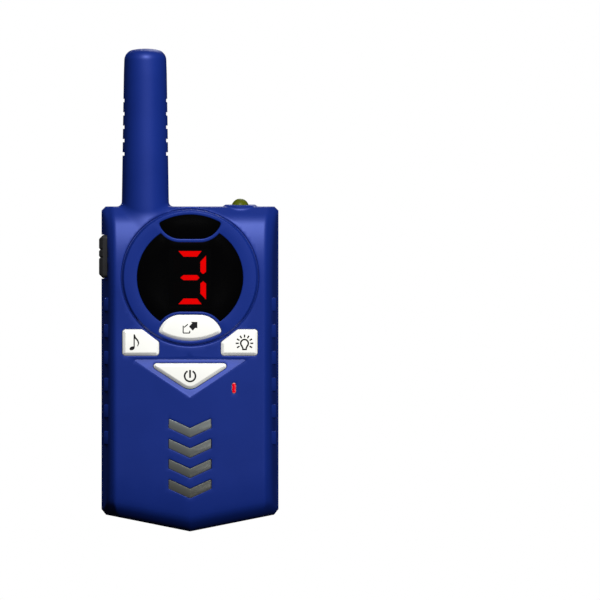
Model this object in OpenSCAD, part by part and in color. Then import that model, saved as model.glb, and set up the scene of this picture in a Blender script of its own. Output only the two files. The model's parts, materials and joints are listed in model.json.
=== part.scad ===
// Toy walkie talkie: a two piece plastic case with a stub antenna, a round display
// bezel, four white keys, a push-to-talk button, a torch, a speaker, three AAA cells
// under a hinged cover, and a sprung belt clip.
// Millimetres. Z runs up along the antenna, the front faces -Y, X runs to the right
// as seen from the front. The origin is at the bottom, in the middle of the bounding box.

/* [Case] */
// Width across the case
body_w = 60; // [59.6:0.1:60.6]
// Height from the tip of the V shaped bottom to the shoulder
body_h = 110.2; // [110:0.1:110.6]
// Depth from the parting line to the front face
front_depth = 12.8; // [12.7:0.1:13]
// Depth from the parting line to the back face
rear_depth = 14.4; // [14.3:0.1:14.6]
// Wall thickness of the shells
wall = 1.8; // [1.6:0.1:1.8]
// Rise of the bottom edge for each millimetre from the middle
v_slope = 0.2; // [0.18:0.01:0.21]

/* [Antenna] */
// Distance of the antenna axis left of the middle
antenna_x = 15.15; // [15:0.05:15.3]
// Height of the antenna above the shoulder
antenna_h = 53.5; // [50:0.5:58]
// Radius at the foot of the antenna
antenna_foot_r = 8; // [7.9:0.1:8.1]
// Radius near the tip of the antenna
antenna_tip_r = 7.15; // [7:0.05:7.4]

/* [Display] */
// Height of the display centre
bezel_z = 86.07; // [86:0.01:86.2]
// Outer radius of the bezel
bezel_r = 23.05; // [22.9:0.05:23.1]
// Radius of the display opening
window_r = 18; // [17.8:0.1:18.1]

/* [Keys] */
// Travel of the front keys
key_travel = 0.7; // [0.5:0.05:0.7]
// Travel of the push-to-talk button
ptt_travel = 0.8; // [0.6:0.05:0.8]

/* [Power] */
// Radius of an AAA cell
cell_r = 5.25; // [5.1:0.05:5.25]
// Length of an AAA cell with its nub
cell_len = 44.5; // [44:0.1:44.5]

/* [Hidden] */
$fn = 48;

// Planes across the depth
bezel_proud = 0.8;
key_proud = 1.2;
clip_reach = 7.6;
part_y = (key_proud + front_depth - rear_depth - clip_reach) / 2;
front_y = part_y - front_depth;
back_y = part_y + rear_depth;
inner_y = front_y + 2;
key_y = front_y - key_proud;
bezel_y = front_y - bezel_proud;
plate_y = bezel_y + 1.8;
pcb_y = part_y - 4;
pcb_back_y = pcb_y + 1.6;
dome_y = pcb_y - 1.85;
stem_y = dome_y - key_travel - 0.05;
rim_y = back_y + clip_reach;

// Case outline
half_w = body_w / 2;
v_angle = atan(v_slope);
corner_top = 1.4;
corner_low = 1.5;
corner_low_h = 1.6;
edge_r = 4;
foot_r = 5;

// Tilt of the shoulder below, across and above its brow, in degrees from upright
brow_tilt = [0, 3, 22, 48];
brow_r = [172, 40, 10.3];
brow_z = 82;

// Key outlines, as heights and distances from the middle
key_top_z = 68.7;
key_low_z = 59.5;
key_outer_x = 23.05;
key_inner_x = 10.34;
key_slant_x = 16.07;
key_slant_z = 64.3;
key_corner_r = 1.2;
power_top_z = 57.24;
power_tip_z = 47.61;
power_half_w = 14.55;
recess_top_z = 58.34;
recess_tip_z = 45.32;
recess_half_w = 19.3;
recess_tilt = 16;

// Lens shapes inside the bezel: the call key below and the small window above
lens_outer_r = 21.35;
lens_side_r = 7.7;
lens_side_x = 3.2;
call_flat = 12.61;
top_flat = 13.09;

// Fixings
post_x = 23.6;
post_low_z = 14;
post_top_z = 104.6;
pcb_posts = [[-22.5, 46], [22.5, 46], [-23, 72.5], [23, 72.5]];
dome_spots = [[0, 68.3], [-16.7, 63.5], [16.7, 63.5], [0, 53.5]];

// Speaker, torch, indicator, push-to-talk
speaker_z = 25;
speaker_r = 13.5;
chevron_top_z = 38.3;
chevron_pitch = 6.86;
torch_x = 17;
torch_r = 3;
light_x = 14.9;
light_z = 48.6;
ptt_z = 93.2;
ptt_half_h = 7.3;
ptt_half_d = 6.8;

// Battery bay and cover
cell_pitch = 10.9;
cell_y = back_y - 7.55;
bay_x = 16.4;
bay_low_z = 11.8;
bay_top_z = 61.4;
cover_x = 18.05;
cover_top_z = 62.8;
cover_y = back_y - 1.8;
hinge_y = back_y - 1.4;
hinge_z = 8.8;
hinge_r = 1.4;
cover_screw_z = 64.2;

// Belt clip
clip_y = back_y + 3.2;
clip_z = 101;
clip_r = 2.3;
clip_x = 8;
arm_y = rim_y - 2.2;
arm_low_z = 71;
arm_top_z = 108;

// ---------------------------------------------------------------- helpers

function arc(c, r, a0, a1, n) =
    [for (k = [0:n]) let (a = a0 + (a1 - a0) * k / n) c + r * [cos(a), sin(a)]];
function mirrored(points) = [for (k = [len(points) - 1:-1:0]) [-points[k][0], points[k][1]]];
function last(list) = list[len(list) - 1];

// The points of one rounded corner at p, between the directions of a and b
function corner(a, p, b, r, n) =
    let (u = (a - p) / norm(a - p), v = (b - p) / norm(b - p), half = acos(u * v) / 2,
        c = p + (u + v) / norm(u + v) * r / sin(half),
        s = p + u * r / tan(half) - c, e = p + v * r / tan(half) - c,
        a0 = atan2(s[1], s[0]), turn = atan2(s[0] * e[1] - s[1] * e[0], s * e))
    [for (k = [0:n]) c + r * [cos(a0 + turn * k / n), sin(a0 + turn * k / n)]];
function rounded(points, radii, n = 5) = let (m = len(points))
    [for (k = [0:m - 1])
        each corner(points[(k + m - 1) % m], points[k], points[(k + 1) % m], radii[k], n)];

module block(lo, hi) {
    translate(lo) cube(hi - lo);
}
module along_y(y0, y1) {
    translate([0, y1, 0]) rotate([90, 0, 0]) linear_extrude(y1 - y0) children();
}
module along_x(x0, x1) {
    translate([x0, 0, 0]) rotate([90, 0, 90]) linear_extrude(x1 - x0) children();
}
module rod_y(x, z, r, y0, y1) {
    translate([x, y1, z]) rotate([90, 0, 0]) cylinder(r = r, h = y1 - y0);
}
module rod_x(y, z, r, x0, x1) {
    translate([x0, y, z]) rotate([0, 90, 0]) cylinder(r = r, h = x1 - x0);
}

// A closed tube swept along a path; ref is a direction the path never follows
module sweep(path, r, ref, sides) {
    n = len(path);
    rings = [for (k = [0:n - 1])
        let (t = path[min(k + 1, n - 1)] - path[max(k - 1, 0)],
            u = cross(ref, t) / norm(cross(ref, t)), v = cross(t, u) / norm(t))
        for (s = [0:sides - 1]) path[k] + r * (cos(360 * s / sides) * u + sin(360 * s / sides) * v)];
    skin = [for (k = [0:n - 2], s = [0:sides - 1]) let (e = (s + 1) % sides)
        [k * sides + s, k * sides + e, (k + 1) * sides + e, (k + 1) * sides + s]];
    polyhedron(rings, concat(skin, [[for (s = [sides - 1:-1:0]) s]],
        [[for (s = [0:sides - 1]) (n - 1) * sides + s]]), convexity = 8);
}
// A wire through points that all lie at one distance across the case
module wire(points, r) {
    sweep(points, r, [1, 0, 0], 8);
}
function helix_z(c, r, h, turns, steps) = [for (k = [0:turns * steps])
    let (a = 360 * k / steps) c + [r * cos(a), r * sin(a), h * k / (turns * steps)]];

// ---------------------------------------------------------------- case shape

// Front view outline, drawn i inside the case
function outline(i) = let (hw = half_w - i, top = body_h - i, tip = i / cos(v_angle),
    side = [[hw - corner_low, tip + v_slope * (hw - corner_low)],
        [hw, tip + v_slope * hw + corner_low_h],
        [hw, top - corner_top], [hw - corner_top, top]])
    concat([[0, tip]], side, mirrored(side));

// Plan section: slanted sides, a bevelled front edge and a faint ridge down the middle.
// The inside of the front face is flat.
function plan(i) = let (ridge = i > 0 ? inner_y : front_y, edge = i > 0 ? inner_y : front_y + 0.45,
    side = concat([[25.2 - 0.6 * i, edge], [27.2 - i, front_y + 2.6 + 0.6 * i], [half_w - i, part_y],
        [half_w - 1 - i, back_y - edge_r - 1]],
        arc([half_w - 1.2 - edge_r, back_y - edge_r], edge_r - i, 0, 90, 4)))
    concat([[0, ridge]], side, mirrored(side));

// One bend of the shoulder from tilt a0 to a1, as [y, z, tilt]
function bend(p, r, a0, a1, n) = [for (k = [0:n]) let (a = a0 + (a1 - a0) * k / n)
    [p[0] + r * (cos(a0) - cos(a)), p[1] + r * (sin(a) - sin(a0)), a]];
brow_low = bend([front_y, brow_z], brow_r[0], brow_tilt[0], brow_tilt[1], 1);
brow_mid = bend(last(brow_low), brow_r[1], brow_tilt[1], brow_tilt[2], 6);
brow_top = bend(last(brow_mid), brow_r[2], brow_tilt[2], brow_tilt[3], 4);
brow_end = last(brow_top);
brow_cap = [brow_end[0] + (body_h + 4 - brow_end[1]) * tan(brow_end[2]), body_h + 4, brow_end[2]];
brow = concat(brow_low, [for (k = [1:6]) brow_mid[k]], [for (k = [1:4]) brow_top[k]], [brow_cap]);

function side_view(i) = concat([[front_y + i, -1]],
    [for (q = brow) [q[0] + i * cos(q[2]), q[1] - i * sin(q[2])]],
    arc([back_y - edge_r, body_h - edge_r], edge_r - i, 60, 0, 3), [[back_y - i, -1]]);

// Section square to one flank of the V shaped bottom
function flank(i) = concat([[front_y - 9, 2 * body_h]], [[front_y - 9, foot_r], [front_y + i, foot_r]],
    arc([front_y + foot_r, foot_r], foot_r - i, 180, 270, 5),
    arc([back_y - edge_r, edge_r], edge_r - i, 270, 360, 4),
    [[back_y + 9, edge_r], [back_y + 9, 2 * body_h]]);

module case_solid(i) {
    intersection() {
        along_y(front_y - 1, back_y + 1) polygon(outline(i));
        linear_extrude(body_h + 1) polygon(plan(i));
        along_x(-half_w - 1, half_w + 1) polygon(side_view(i));
        rotate([0, -v_angle, 0]) along_x(-2 * body_w, 2 * body_w) polygon(flank(i));
        rotate([0, v_angle, 0]) along_x(-2 * body_w, 2 * body_w) polygon(flank(i));
    }
}

// Half section of the antenna, with its foot inside the shoulder
function antenna_section() = let (tip = body_h + antenna_h, round_r = 3.6)
    concat([[0, body_h - 6], [antenna_foot_r, body_h - 6], [antenna_foot_r, body_h - 0.2],
        [antenna_foot_r + 1, body_h]],
        arc([antenna_foot_r + 1, body_h + 1], 1, 225, 180, 2),
        [[7.5, body_h + 32], [antenna_tip_r + 0.15, tip - 8.5]],
        arc([antenna_tip_r - round_r, tip - round_r - 0.35], round_r, 0, 80, 5), [[0, tip]]);

module antenna_solid() {
    difference() {
        translate([-antenna_x, part_y, 0]) rotate_extrude() polygon(antenna_section());
        for (k = [0:4], s = [-1, 1])
            translate([s * 7.9 - antenna_x, part_y, body_h + 17.8 + 4.53 * k])
                cube([1.6, 12, 1.1], center = true);
    }
}

module torch_boss() {
    translate([torch_x, part_y, body_h - 1.7]) cylinder(r = 5.75, h = 1.7);
    translate([torch_x, part_y, body_h]) cylinder(r1 = 5.75, r2 = 5, h = 0.65);
}

module case_outside() {
    case_solid(0);
    antenna_solid();
    torch_boss();
}
module case_inside() {
    case_solid(wall);
    translate([-antenna_x, part_y, body_h - wall - 0.4]) cylinder(r = 5.6, h = antenna_h - 4);
    translate([torch_x, part_y, body_h - wall - 0.4]) cylinder(r = torch_r + 0.05, h = 4);
}
module ptt_hole() {
    block([-half_w - 2, part_y - ptt_half_d - 0.1, ptt_z - ptt_half_h - 0.1],
        [-half_w + 6, part_y + ptt_half_d + 0.1, ptt_z + ptt_half_h + 0.1]);
}
module shell_posts(r, y0, y1) {
    intersection() {
        case_solid(0.2);
        for (s = [-1, 1], z = [post_low_z, post_top_z]) rod_y(s * post_x, z, r, y0, y1);
    }
}

// ---------------------------------------------------------------- outlines

// The lens between the bezel's rim and two side arcs, grown by g; up is 1 or -1
module lens(g, flat, up) {
    side_z = up * (flat + lens_side_r);
    far_z = up * (bezel_r + 8);
    translate([0, bezel_z]) intersection() {
        circle(r = lens_outer_r + g, $fn = 96);
        union() {
            for (s = [-1, 1]) translate([s * lens_side_x, side_z]) circle(r = lens_side_r + g, $fn = 64);
            translate([-lens_side_x, min(up * (flat - g), far_z)])
                square([2 * lens_side_x, abs(far_z - up * (flat - g))]);
            for (s = [-1, 1]) translate([s * lens_side_x, side_z + up * 2])
                square([2 * (lens_side_r + g), 4], center = true);
        }
    }
}
module display_opening(g) {
    difference() {
        translate([0, bezel_z]) circle(r = window_r + g, $fn = 96);
        lens(1.07 - g, call_flat, -1);
        lens(1.15 - g, top_flat, 1);
    }
}
function side_key(g) = rounded([[-key_outer_x - g, key_top_z + g], [-key_slant_x + g / 2, key_top_z + g],
    [-key_inner_x + g, key_slant_z + g / 2], [-key_inner_x + g, key_low_z - g],
    [-key_outer_x - g, key_low_z - g]], [for (k = [0:4]) key_corner_r + g]);
function power_key(g) = rounded([[-power_half_w - 2.5 * g, power_top_z + g],
    [power_half_w + 2.5 * g, power_top_z + g], [0, power_tip_z - 1.2 * g]], [0.95 + g, 0.95 + g, 4 + g]);
function recess(g) = [[-recess_half_w - 3 * g, recess_top_z + g], [recess_half_w + 3 * g, recess_top_z + g],
    [0, recess_tip_z - 1.2 * g]];
function chevron(k, g) = let (z = chevron_top_z - chevron_pitch * k, w = 7.2 + g)
    [[-w, z + g], [0, z + g - 3.3], [w, z + g], [w, z - g - 3.15], [0, z - g - 6.45], [-w, z - g - 3.15]];
module pill(g) {
    for (s = [-1, 1]) translate([light_x, light_z + s * 1.225]) circle(r = 0.725 + g, $fn = 32);
    translate([light_x - 0.725 - g, light_z - 1.225]) square([1.45 + 2 * g, 2.45]);
}

// The space in front of the tilted recess floor, moved back by d
module recess_front(d) {
    rise = body_h / 2;
    along_x(-half_w, half_w) polygon([[front_y + d, recess_tip_z], [front_y - 5, recess_tip_z - 4],
        [front_y - 5, recess_tip_z + rise], [front_y + d + rise * tan(recess_tilt), recess_tip_z + rise]]);
}

// ---------------------------------------------------------------- case parts

module grip_ribs() {
    rib = [[29.2, part_y - 2.9], [29.2, part_y - 7.5], [27.1, part_y - 10], [26.6, part_y - 10],
        [26.6, part_y - 2.9]];
    for (k = [0:5]) translate([0, 0, 29.4 + 9.05 * k]) linear_extrude(4.6) {
        polygon(rib);
        polygon(mirrored(rib));
    }
}

module front_shell() {
    color("mediumblue") difference() {
        union() {
            intersection() {
                case_outside();
                block([-half_w - 1, front_y - 2, -1], [half_w + 1, part_y, body_h + antenna_h + 1]);
            }
            grip_ribs();
        }
        difference() {
            case_inside();
            shell_posts(2.8, front_y, part_y);
            for (p = pcb_posts) rod_y(p[0], p[1], 2.2, inner_y - 0.5, pcb_y);
            difference() {
                rod_y(0, speaker_z, speaker_r + 1.3, inner_y - 0.5, inner_y + 3.2);
                rod_y(0, speaker_z, speaker_r + 0.2, inner_y - 1, inner_y + 4);
                block([-9.8, inner_y - 1, 0], [9.8, inner_y + 4, 50]);
            }
            intersection() {
                along_y(front_y, part_y) polygon(recess(1));
                recess_front(1.6);
            }
        }
        rod_y(0, bezel_z, bezel_r + 0.25, front_y - 1, pcb_y - 1);
        intersection() {
            along_y(front_y - 1, pcb_y) polygon(recess(0));
            recess_front(0);
        }
        along_y(front_y - 1, inner_y + 1) {
            polygon(side_key(0.15));
            polygon(mirrored(side_key(0.15)));
            for (k = [0:3]) polygon(chevron(k, 0.1));
            pill(0.06);
        }
        along_y(front_y - 1, pcb_y) polygon(power_key(0.15));
        ptt_hole();
        for (s = [-1, 1], z = [post_low_z, post_top_z])
            rod_y(s * post_x, z, 1.2, part_y - 6, part_y + 1);
        for (p = pcb_posts) rod_y(p[0], p[1], 0.85, pcb_y - 5, pcb_y + 1);
    }
}

module bay_block(g, y0, y1) {
    block([-bay_x - g, y0, bay_low_z - g], [bay_x + g, y1, bay_top_z + g]);
}
module cover_plate(g, y0, y1) {
    block([-cover_x - g, y0, hinge_z], [cover_x + g, y1, cover_top_z + g]);
    rod_y(0, cover_screw_z, 4.3 + g, y0, y1);
}

module rear_shell() {
    color("mediumblue") difference() {
        union() {
            difference() {
                intersection() {
                    case_outside();
                    block([-half_w - 1, part_y, -1], [half_w + 1, back_y + 1, body_h + antenna_h + 1]);
                }
                case_inside();
            }
            intersection() {
                case_solid(0.2);
                union() {
                    bay_block(1.2, part_y + 0.1, cover_y - 0.05);
                    rod_y(0, cover_screw_z + 0.2, 4.9, part_y + 3, cover_y - 0.05);
                    block([-cover_x - 0.1, hinge_y - 3.1, 5.4], [cover_x + 0.1, cover_y + 0.3, bay_low_z]);
                    for (s = [-1, 1]) translate([s * 19.4, hinge_y - 0.1, hinge_z])
                        cube([2.3, 3, 3.8], center = true);
                }
            }
            shell_posts(4, part_y, back_y);
            clip_ears();
        }
        bay_block(0, part_y + 1.4, back_y + 1);
        cover_plate(0.2, cover_y - 0.05, back_y + 1);
        block([-cover_x - 0.2, cover_y, hinge_z - 1.25], [cover_x + 0.2, back_y + 1, hinge_z + 1]);
        rod_x(hinge_y, hinge_z, hinge_r + 0.2, -cover_x - 0.2, cover_x + 0.2);
        rod_x(hinge_y, hinge_z, 0.86, -19.6, 19.6);
        rod_y(0, cover_screw_z, 1.65, part_y + 4, back_y);
        rod_x(clip_y, clip_z, 1.02, -12, 12);
        for (s = [-1, 1], z = [post_low_z, post_top_z]) {
            rod_y(s * post_x, z, 1.5, part_y - 1, back_y);
            rod_y(s * post_x, z, 2.8, part_y + 5, back_y + 1);
        }
        ptt_hole();
    }
}

module clip_ears() {
    for (s = [-1, 1]) translate([s * 9.6, 0, 0]) {
        rod_x(clip_y, clip_z, 2.8, -1.25, 1.25);
        block([-1.25, back_y - 0.4, clip_z - 2.8], [1.25, clip_y, clip_z + 2.8]);
    }
}

module battery_cover() {
    color("mediumblue") difference() {
        union() {
            cover_plate(0, cover_y, back_y);
            rod_x(hinge_y, hinge_z, hinge_r, -cover_x, cover_x);
            rod_x(hinge_y, hinge_z, 0.8, -19.3, 19.3);
        }
        rod_y(0, cover_screw_z, 1.25, cover_y - 1, back_y + 1);
        rod_y(0, cover_screw_z, 2.7, back_y - 1.1, back_y + 1);
    }
}

// A pan head screw pointing along -Y, with a cross recess in its head
module screw(x, z, y, r, len, head_r, head_h) {
    difference() {
        union() {
            rod_y(x, z, r, y - len, y);
            rod_y(x, z, head_r, y, y + head_h);
        }
        for (a = [0, 90]) translate([x, y + head_h, z]) rotate([0, a, 0])
            cube([head_r * 1.3, head_h, head_r * 0.3], center = true);
    }
}

module cover_screw() {
    color("silver") screw(0, cover_screw_z, back_y - 1.1, 1.2, 7, 2.4, 0.9);
}
module cover_foam() {
    color("dimgray") block([-14, cell_y + cell_r + 0.02, 30], [14, cover_y - 0.02, 42]);
}
module shell_screws() {
    color("silver") for (s = [-1, 1], z = [post_low_z, post_top_z])
        screw(s * post_x, z, part_y + 5, 1.15, 10.5, 2.5, 1.8);
}

// ---------------------------------------------------------------- belt clip

module belt_clip() {
    color("mediumblue") difference() {
        union() {
            block([-clip_x, arm_y, arm_low_z + clip_x / 2], [clip_x, rim_y, arm_top_z - 2]);
            for (s = [-1, 1]) {
                rod_y(s * (clip_x - 4), arm_low_z + 4, 4, arm_y, rim_y);
                rod_y(s * (clip_x - 2), arm_top_z - 2, 2, arm_y, rim_y);
            }
            block([-clip_x + 4, arm_y, arm_low_z], [clip_x - 4, rim_y, arm_low_z + 5]);
            block([-clip_x + 2, arm_y, arm_top_z - 4], [clip_x - 2, rim_y, arm_top_z]);
            block([-clip_x + 3, back_y + 0.3, arm_low_z + 0.3], [clip_x - 3, rim_y - 1, arm_low_z + 2.6]);
            rod_x(clip_y, clip_z, clip_r, -clip_x, clip_x);
            block([-clip_x, clip_y, clip_z - 2], [clip_x, arm_y + 0.5, clip_z + 2]);
        }
        rod_x(clip_y, clip_z, 1.05, -clip_x - 1, clip_x + 1);
        block([-3.4, back_y, clip_z - 3], [3.4, arm_y, clip_z + 3]);
    }
}
module clip_pin() {
    color("silver") rod_x(clip_y, clip_z, 1, -10.85, 10.85);
}
module clip_spring() {
    turns = 5;
    steps = 14;
    coil_r = 1.75;
    coil = [for (k = [0:turns * steps]) let (a = 360 * k / steps)
        [-2.6 + 5.2 * k / (turns * steps), clip_y - coil_r * cos(a), clip_z + coil_r * sin(a)]];
    color("silver") sweep(concat([[-2.6, back_y + 0.45, clip_z - 8], [-2.6, clip_y - coil_r, clip_z - 1.4]],
        coil, [[2.6, clip_y - coil_r, clip_z + 1.4], [2.6, arm_y - 0.45, clip_z + 6]]), 0.3, [1, 0, 0], 6);
}

// ---------------------------------------------------------------- display

module display_bezel() {
    color("mediumblue") {
        difference() {
            union() {
                rod_y(0, bezel_z, bezel_r, bezel_y, pcb_y - 1.2);
                for (a = [0, 180, 270]) translate([0, 0, bezel_z]) rotate([0, -a, 0])
                    block([20, inner_y + 0.05, -3], [bezel_r + 0.9, inner_y + 1.2, 3]);
            }
            rod_y(0, bezel_z, bezel_r - 1.2, plate_y, pcb_y);
            along_y(bezel_y - 1, plate_y + 1) {
                display_opening(0);
                lens(0.12, call_flat, -1);
                lens(0, top_flat, 1);
            }
        }
    }
}
module display_window() {
    color([0.05, 0.05, 0.06, 0.8]) {
        along_y(bezel_y + 0.2, plate_y) display_opening(-0.08);
        intersection() {
            rod_y(0, bezel_z, 20.8, plate_y, plate_y + 1);
            block([-half_w, plate_y, bezel_z - 11], [half_w, inner_y, bezel_z + 11.5]);
        }
    }
}
module top_window() {
    color([0.05, 0.05, 0.06, 0.8]) {
        along_y(bezel_y + 0.2, plate_y) lens(-0.08, top_flat, 1);
        along_y(plate_y, plate_y + 1) lens(0.4, top_flat + 0.6, 1);
    }
}

// Seven segment digit: the bars of a 3, and the two bars left dark
module segments(lit) {
    side = [[3.3, 1.7], [4.45, 1.25], [5.6, 1.7], [5.6, 7.5], [3.3, 5.6]];
    translate([0, bezel_z]) {
        if (lit) {
            for (s = [-1, 1]) {
                polygon([[-4.1, s * 9.03], [4.1, s * 9.03], [2.15, s * 6.98], [-2.15, s * 6.98]]);
                polygon([for (p = side) [p[0], s * p[1]]]);
            }
            polygon([[-3.2, 0], [-2.2, 1], [2.2, 1], [3.2, 0], [2.2, -1], [-2.2, -1]]);
        } else for (s = [-1, 1]) polygon([for (p = side) [-p[0], s * p[1]]]);
    }
}
module display_module() {
    color("black") block([-7.5, plate_y + 1.8, bezel_z - 10.1], [7.5, pcb_y, bezel_z + 10.1]);
}
module lit_segments() {
    color("red") along_y(plate_y + 1.5, plate_y + 1.78) segments(true);
}
module unlit_segments() {
    color("dimgray") along_y(plate_y + 1.5, plate_y + 1.78) segments(false);
}

// ---------------------------------------------------------------- keys

module call_button() {
    color("ivory") {
        along_y(key_y, plate_y + 0.1) lens(0, call_flat, -1);
        along_y(plate_y + 0.1, plate_y + 1.1) lens(0.4, call_flat - 0.4, -1);
        rod_y(dome_spots[0][0], dome_spots[0][1], 1.6, plate_y + 1, stem_y);
    }
}
module side_button() {
    along_y(key_y, inner_y + 0.1) polygon(side_key(0));
    difference() {
        along_y(inner_y + 0.1, inner_y + 0.9) polygon(side_key(0.8));
        rod_y(0, bezel_z, bezel_r + 0.5, inner_y - 1, inner_y + 2);
        block([-half_w, inner_y, 0], [0, inner_y + 2, key_low_z - 0.05]);
    }
    rod_y(dome_spots[1][0], dome_spots[1][1], 1.6, inner_y + 0.8, stem_y);
}
module music_button() {
    color("ivory") side_button();
}
module light_button() {
    color("ivory") mirror([1, 0, 0]) side_button();
}
module power_button() {
    color("ivory") {
        along_y(key_y, stem_y - 0.8) polygon(power_key(0));
        along_y(stem_y - 0.8, stem_y) polygon(power_key(0.6));
    }
}
module keypad_membrane() {
    color("gray") {
        difference() {
            union() {
                block([-24, pcb_y - 0.6, 48.6], [24, pcb_y, 70.1]);
                block([-12, pcb_y - 0.6, 70], [12, pcb_y, 73.5]);
            }
            block([light_x - 2.6, pcb_y - 1, 48], [light_x + 2.6, pcb_y + 1, 51.6]);
        }
        for (p = dome_spots) translate([p[0], pcb_y - 0.6, p[1]]) rotate([90, 0, 0])
            cylinder(r1 = 2.8, r2 = 1.8, h = pcb_y - 0.6 - dome_y);
    }
}
module ptt_button() {
    z0 = ptt_z - ptt_half_h;
    z1 = ptt_z + ptt_half_h;
    face_x = -half_w - 0.85;
    color("#2a2a2c") {
        intersection() {
            difference() {
                block([face_x, part_y - ptt_half_d, z0], [-25.8, part_y + ptt_half_d, z1]);
                for (z = [92.9, 95.6]) translate([face_x, part_y, z]) rotate([0, 45, 0])
                    cube([0.6, 3 * ptt_half_d, 0.6], center = true);
            }
            along_y(part_y - 20, part_y + 20) polygon([[face_x, z0 + 1.2], [face_x + 1.3, z0], [0, z0],
                [0, z1], [face_x + 1.3, z1], [face_x, z1 - 1.2]]);
            linear_extrude(body_h) polygon([[face_x, part_y - ptt_half_d + 1.6],
                [face_x + 1.6, part_y - ptt_half_d], [0, part_y - ptt_half_d],
                [0, part_y + ptt_half_d], [face_x + 1.6, part_y + ptt_half_d],
                [face_x, part_y + ptt_half_d - 1.6]]);
        }
        block([-25.8, part_y - ptt_half_d - 0.8, z0 - 1], [-25, part_y + ptt_half_d + 0.8, z1 - 0.3]);
        rod_x(part_y, ptt_z, 1.5, -25.2, -23.8);
    }
}

// ---------------------------------------------------------------- electronics

module main_pcb() {
    color("seagreen") difference() {
        along_y(pcb_y, pcb_back_y) polygon([[-25.2, 42], [25.2, 42], [25.2, 100.9],
            [-23.6, 100.9], [-23.6, 84], [-25.2, 84]]);
        for (p = pcb_posts) rod_y(p[0], p[1], 1, pcb_y - 1, pcb_back_y + 1);
    }
}
module pcb_screws() {
    color("silver") for (p = pcb_posts) screw(p[0], p[1], pcb_back_y, 0.8, 6, 1.9, 1.2);
}
module ptt_switch() {
    color("black") block([-22, pcb_back_y, ptt_z - 3], [-18, pcb_back_y + 4.2, ptt_z + 3]);
    color("white") rod_x(part_y, ptt_z, 1.2, -22 - 0.9, -22);
}
module indicator_light() {
    color("red") {
        along_y(front_y + 0.05, inner_y + 0.1) pill(0);
        along_y(inner_y + 0.1, inner_y + 1.1) pill(0.8);
        rod_y(light_x, light_z, 1.4, inner_y + 1, pcb_y - 3.6);
    }
}
module indicator_led() {
    color("white") block([light_x - 1.6, pcb_y - 2, light_z - 1], [light_x + 1.6, pcb_y, light_z + 1]);
    color("red") rod_y(light_x, light_z, 0.9, pcb_y - 3.5, pcb_y - 2);
}
module torch_lens() {
    dome_z = body_h + 0.65 + 2 - torch_r;
    low_z = body_h - wall - 1.05;
    color("olive") translate([torch_x, part_y, 0]) difference() {
        union() {
            translate([0, 0, dome_z]) intersection() {
                sphere(r = torch_r);
                translate([0, 0, torch_r]) cube(2 * torch_r, center = true);
            }
            translate([0, 0, low_z]) cylinder(r = torch_r, h = dome_z - low_z);
            translate([0, 0, low_z]) cylinder(r = 3.6, h = 1);
        }
        translate([0, 0, low_z - 1]) cylinder(r = 2.2, h = dome_z - low_z + 1);
        translate([0, 0, dome_z]) sphere(r = 2.2);
    }
}
module torch_led() {
    color("white") translate([torch_x, part_y, body_h - 5.8]) {
        cylinder(r = 2.1, h = 1);
        cylinder(r = 1.8, h = 4.6);
        translate([0, 0, 4.6]) sphere(r = 1.8);
    }
}
module speaker_grille() {
    color("gray") {
        along_y(front_y + 0.15, inner_y + 0.1) for (k = [0:3]) polygon(chevron(k, 0));
        block([-9.5, inner_y + 0.1, 9.6], [9.5, inner_y + 1, 40.5]);
    }
}
module speaker_frame() {
    front = inner_y + 1.1;
    color("darkgray") difference() {
        union() {
            rod_y(0, speaker_z, speaker_r, front, front + 0.9);
            rod_y(0, speaker_z, 11.6, front + 0.8, front + 4.2);
        }
        rod_y(0, speaker_z, 10.8, front - 1, front + 3.4);
        rod_y(0, speaker_z, 3.2, front, front + 5);
    }
}
module speaker_cone() {
    front = inner_y + 1.2;
    color("black") translate([0, front, speaker_z]) rotate([-90, 0, 0]) difference() {
        cylinder(r1 = 10.6, r2 = 3, h = 2.9);
        translate([0, 0, -0.01]) cylinder(r1 = 10.2, r2 = 2.4, h = 2.5);
    }
}
module speaker_magnet() {
    color("dimgray") rod_y(0, speaker_z, 7, inner_y + 5.35, inner_y + 8.6);
}
module microphone() {
    color("silver") rod_y(0, 7.2, 2.9, part_y - 9, part_y - 6.7);
}
module mic_boot() {
    color("black") difference() {
        rod_y(0, 7.2, 3.6, part_y - 9.4, part_y - 6.6);
        rod_y(0, 7.2, 2.95, part_y - 9.05, part_y - 6);
        rod_y(0, 7.2, 1, part_y - 10, part_y - 8);
    }
}
module antenna_coil() {
    color("peru") sweep(helix_z([-antenna_x, part_y, body_h + 2.5], 3.1, 36, 12, 12), 0.4, [0, 0, 1], 6);
}
module antenna_former() {
    color("ivory") translate([-antenna_x, part_y, body_h - 1.5]) {
        cylinder(r = 5.4, h = 1.5);
        cylinder(r = 2.4, h = 43);
    }
}
module cell(k, up) {
    x = (k - 2) * cell_pitch;
    low = bay_low_z + 0.45;
    high = bay_top_z - 0.45;
    body_len = cell_len - 0.9;
    color("goldenrod") {
        if (up) {
            translate([x, cell_y, high - cell_len]) cylinder(r = cell_r, h = body_len);
            translate([x, cell_y, high - 1]) cylinder(r = 1.9, h = 1);
        } else {
            translate([x, cell_y, low]) cylinder(r = 1.9, h = 1);
            translate([x, cell_y, low + 0.9]) cylinder(r = cell_r, h = body_len);
        }
    }
}
module battery_springs() {
    gap = bay_top_z - bay_low_z - 0.9 - cell_len;
    color("silver") for (k = [1:3]) {
        z = k == 2 ? bay_top_z - 0.9 - gap + 0.9 : bay_low_z + 0.9;
        translate([(k - 2) * cell_pitch, cell_y, z])
            sweep(helix_z([0, 0, 0], 3.2, gap - 0.9, 3, 14), 0.4, [0, 0, 1], 6);
    }
}
module battery_contacts() {
    color("silver") for (k = [-1:1], z = [bay_low_z + 0.02, bay_top_z - 0.4])
        block([k * cell_pitch - 4.8, cell_y - 4.6, z], [k * cell_pitch + 4.8, cell_y + 4.6, z + 0.38]);
}
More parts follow.
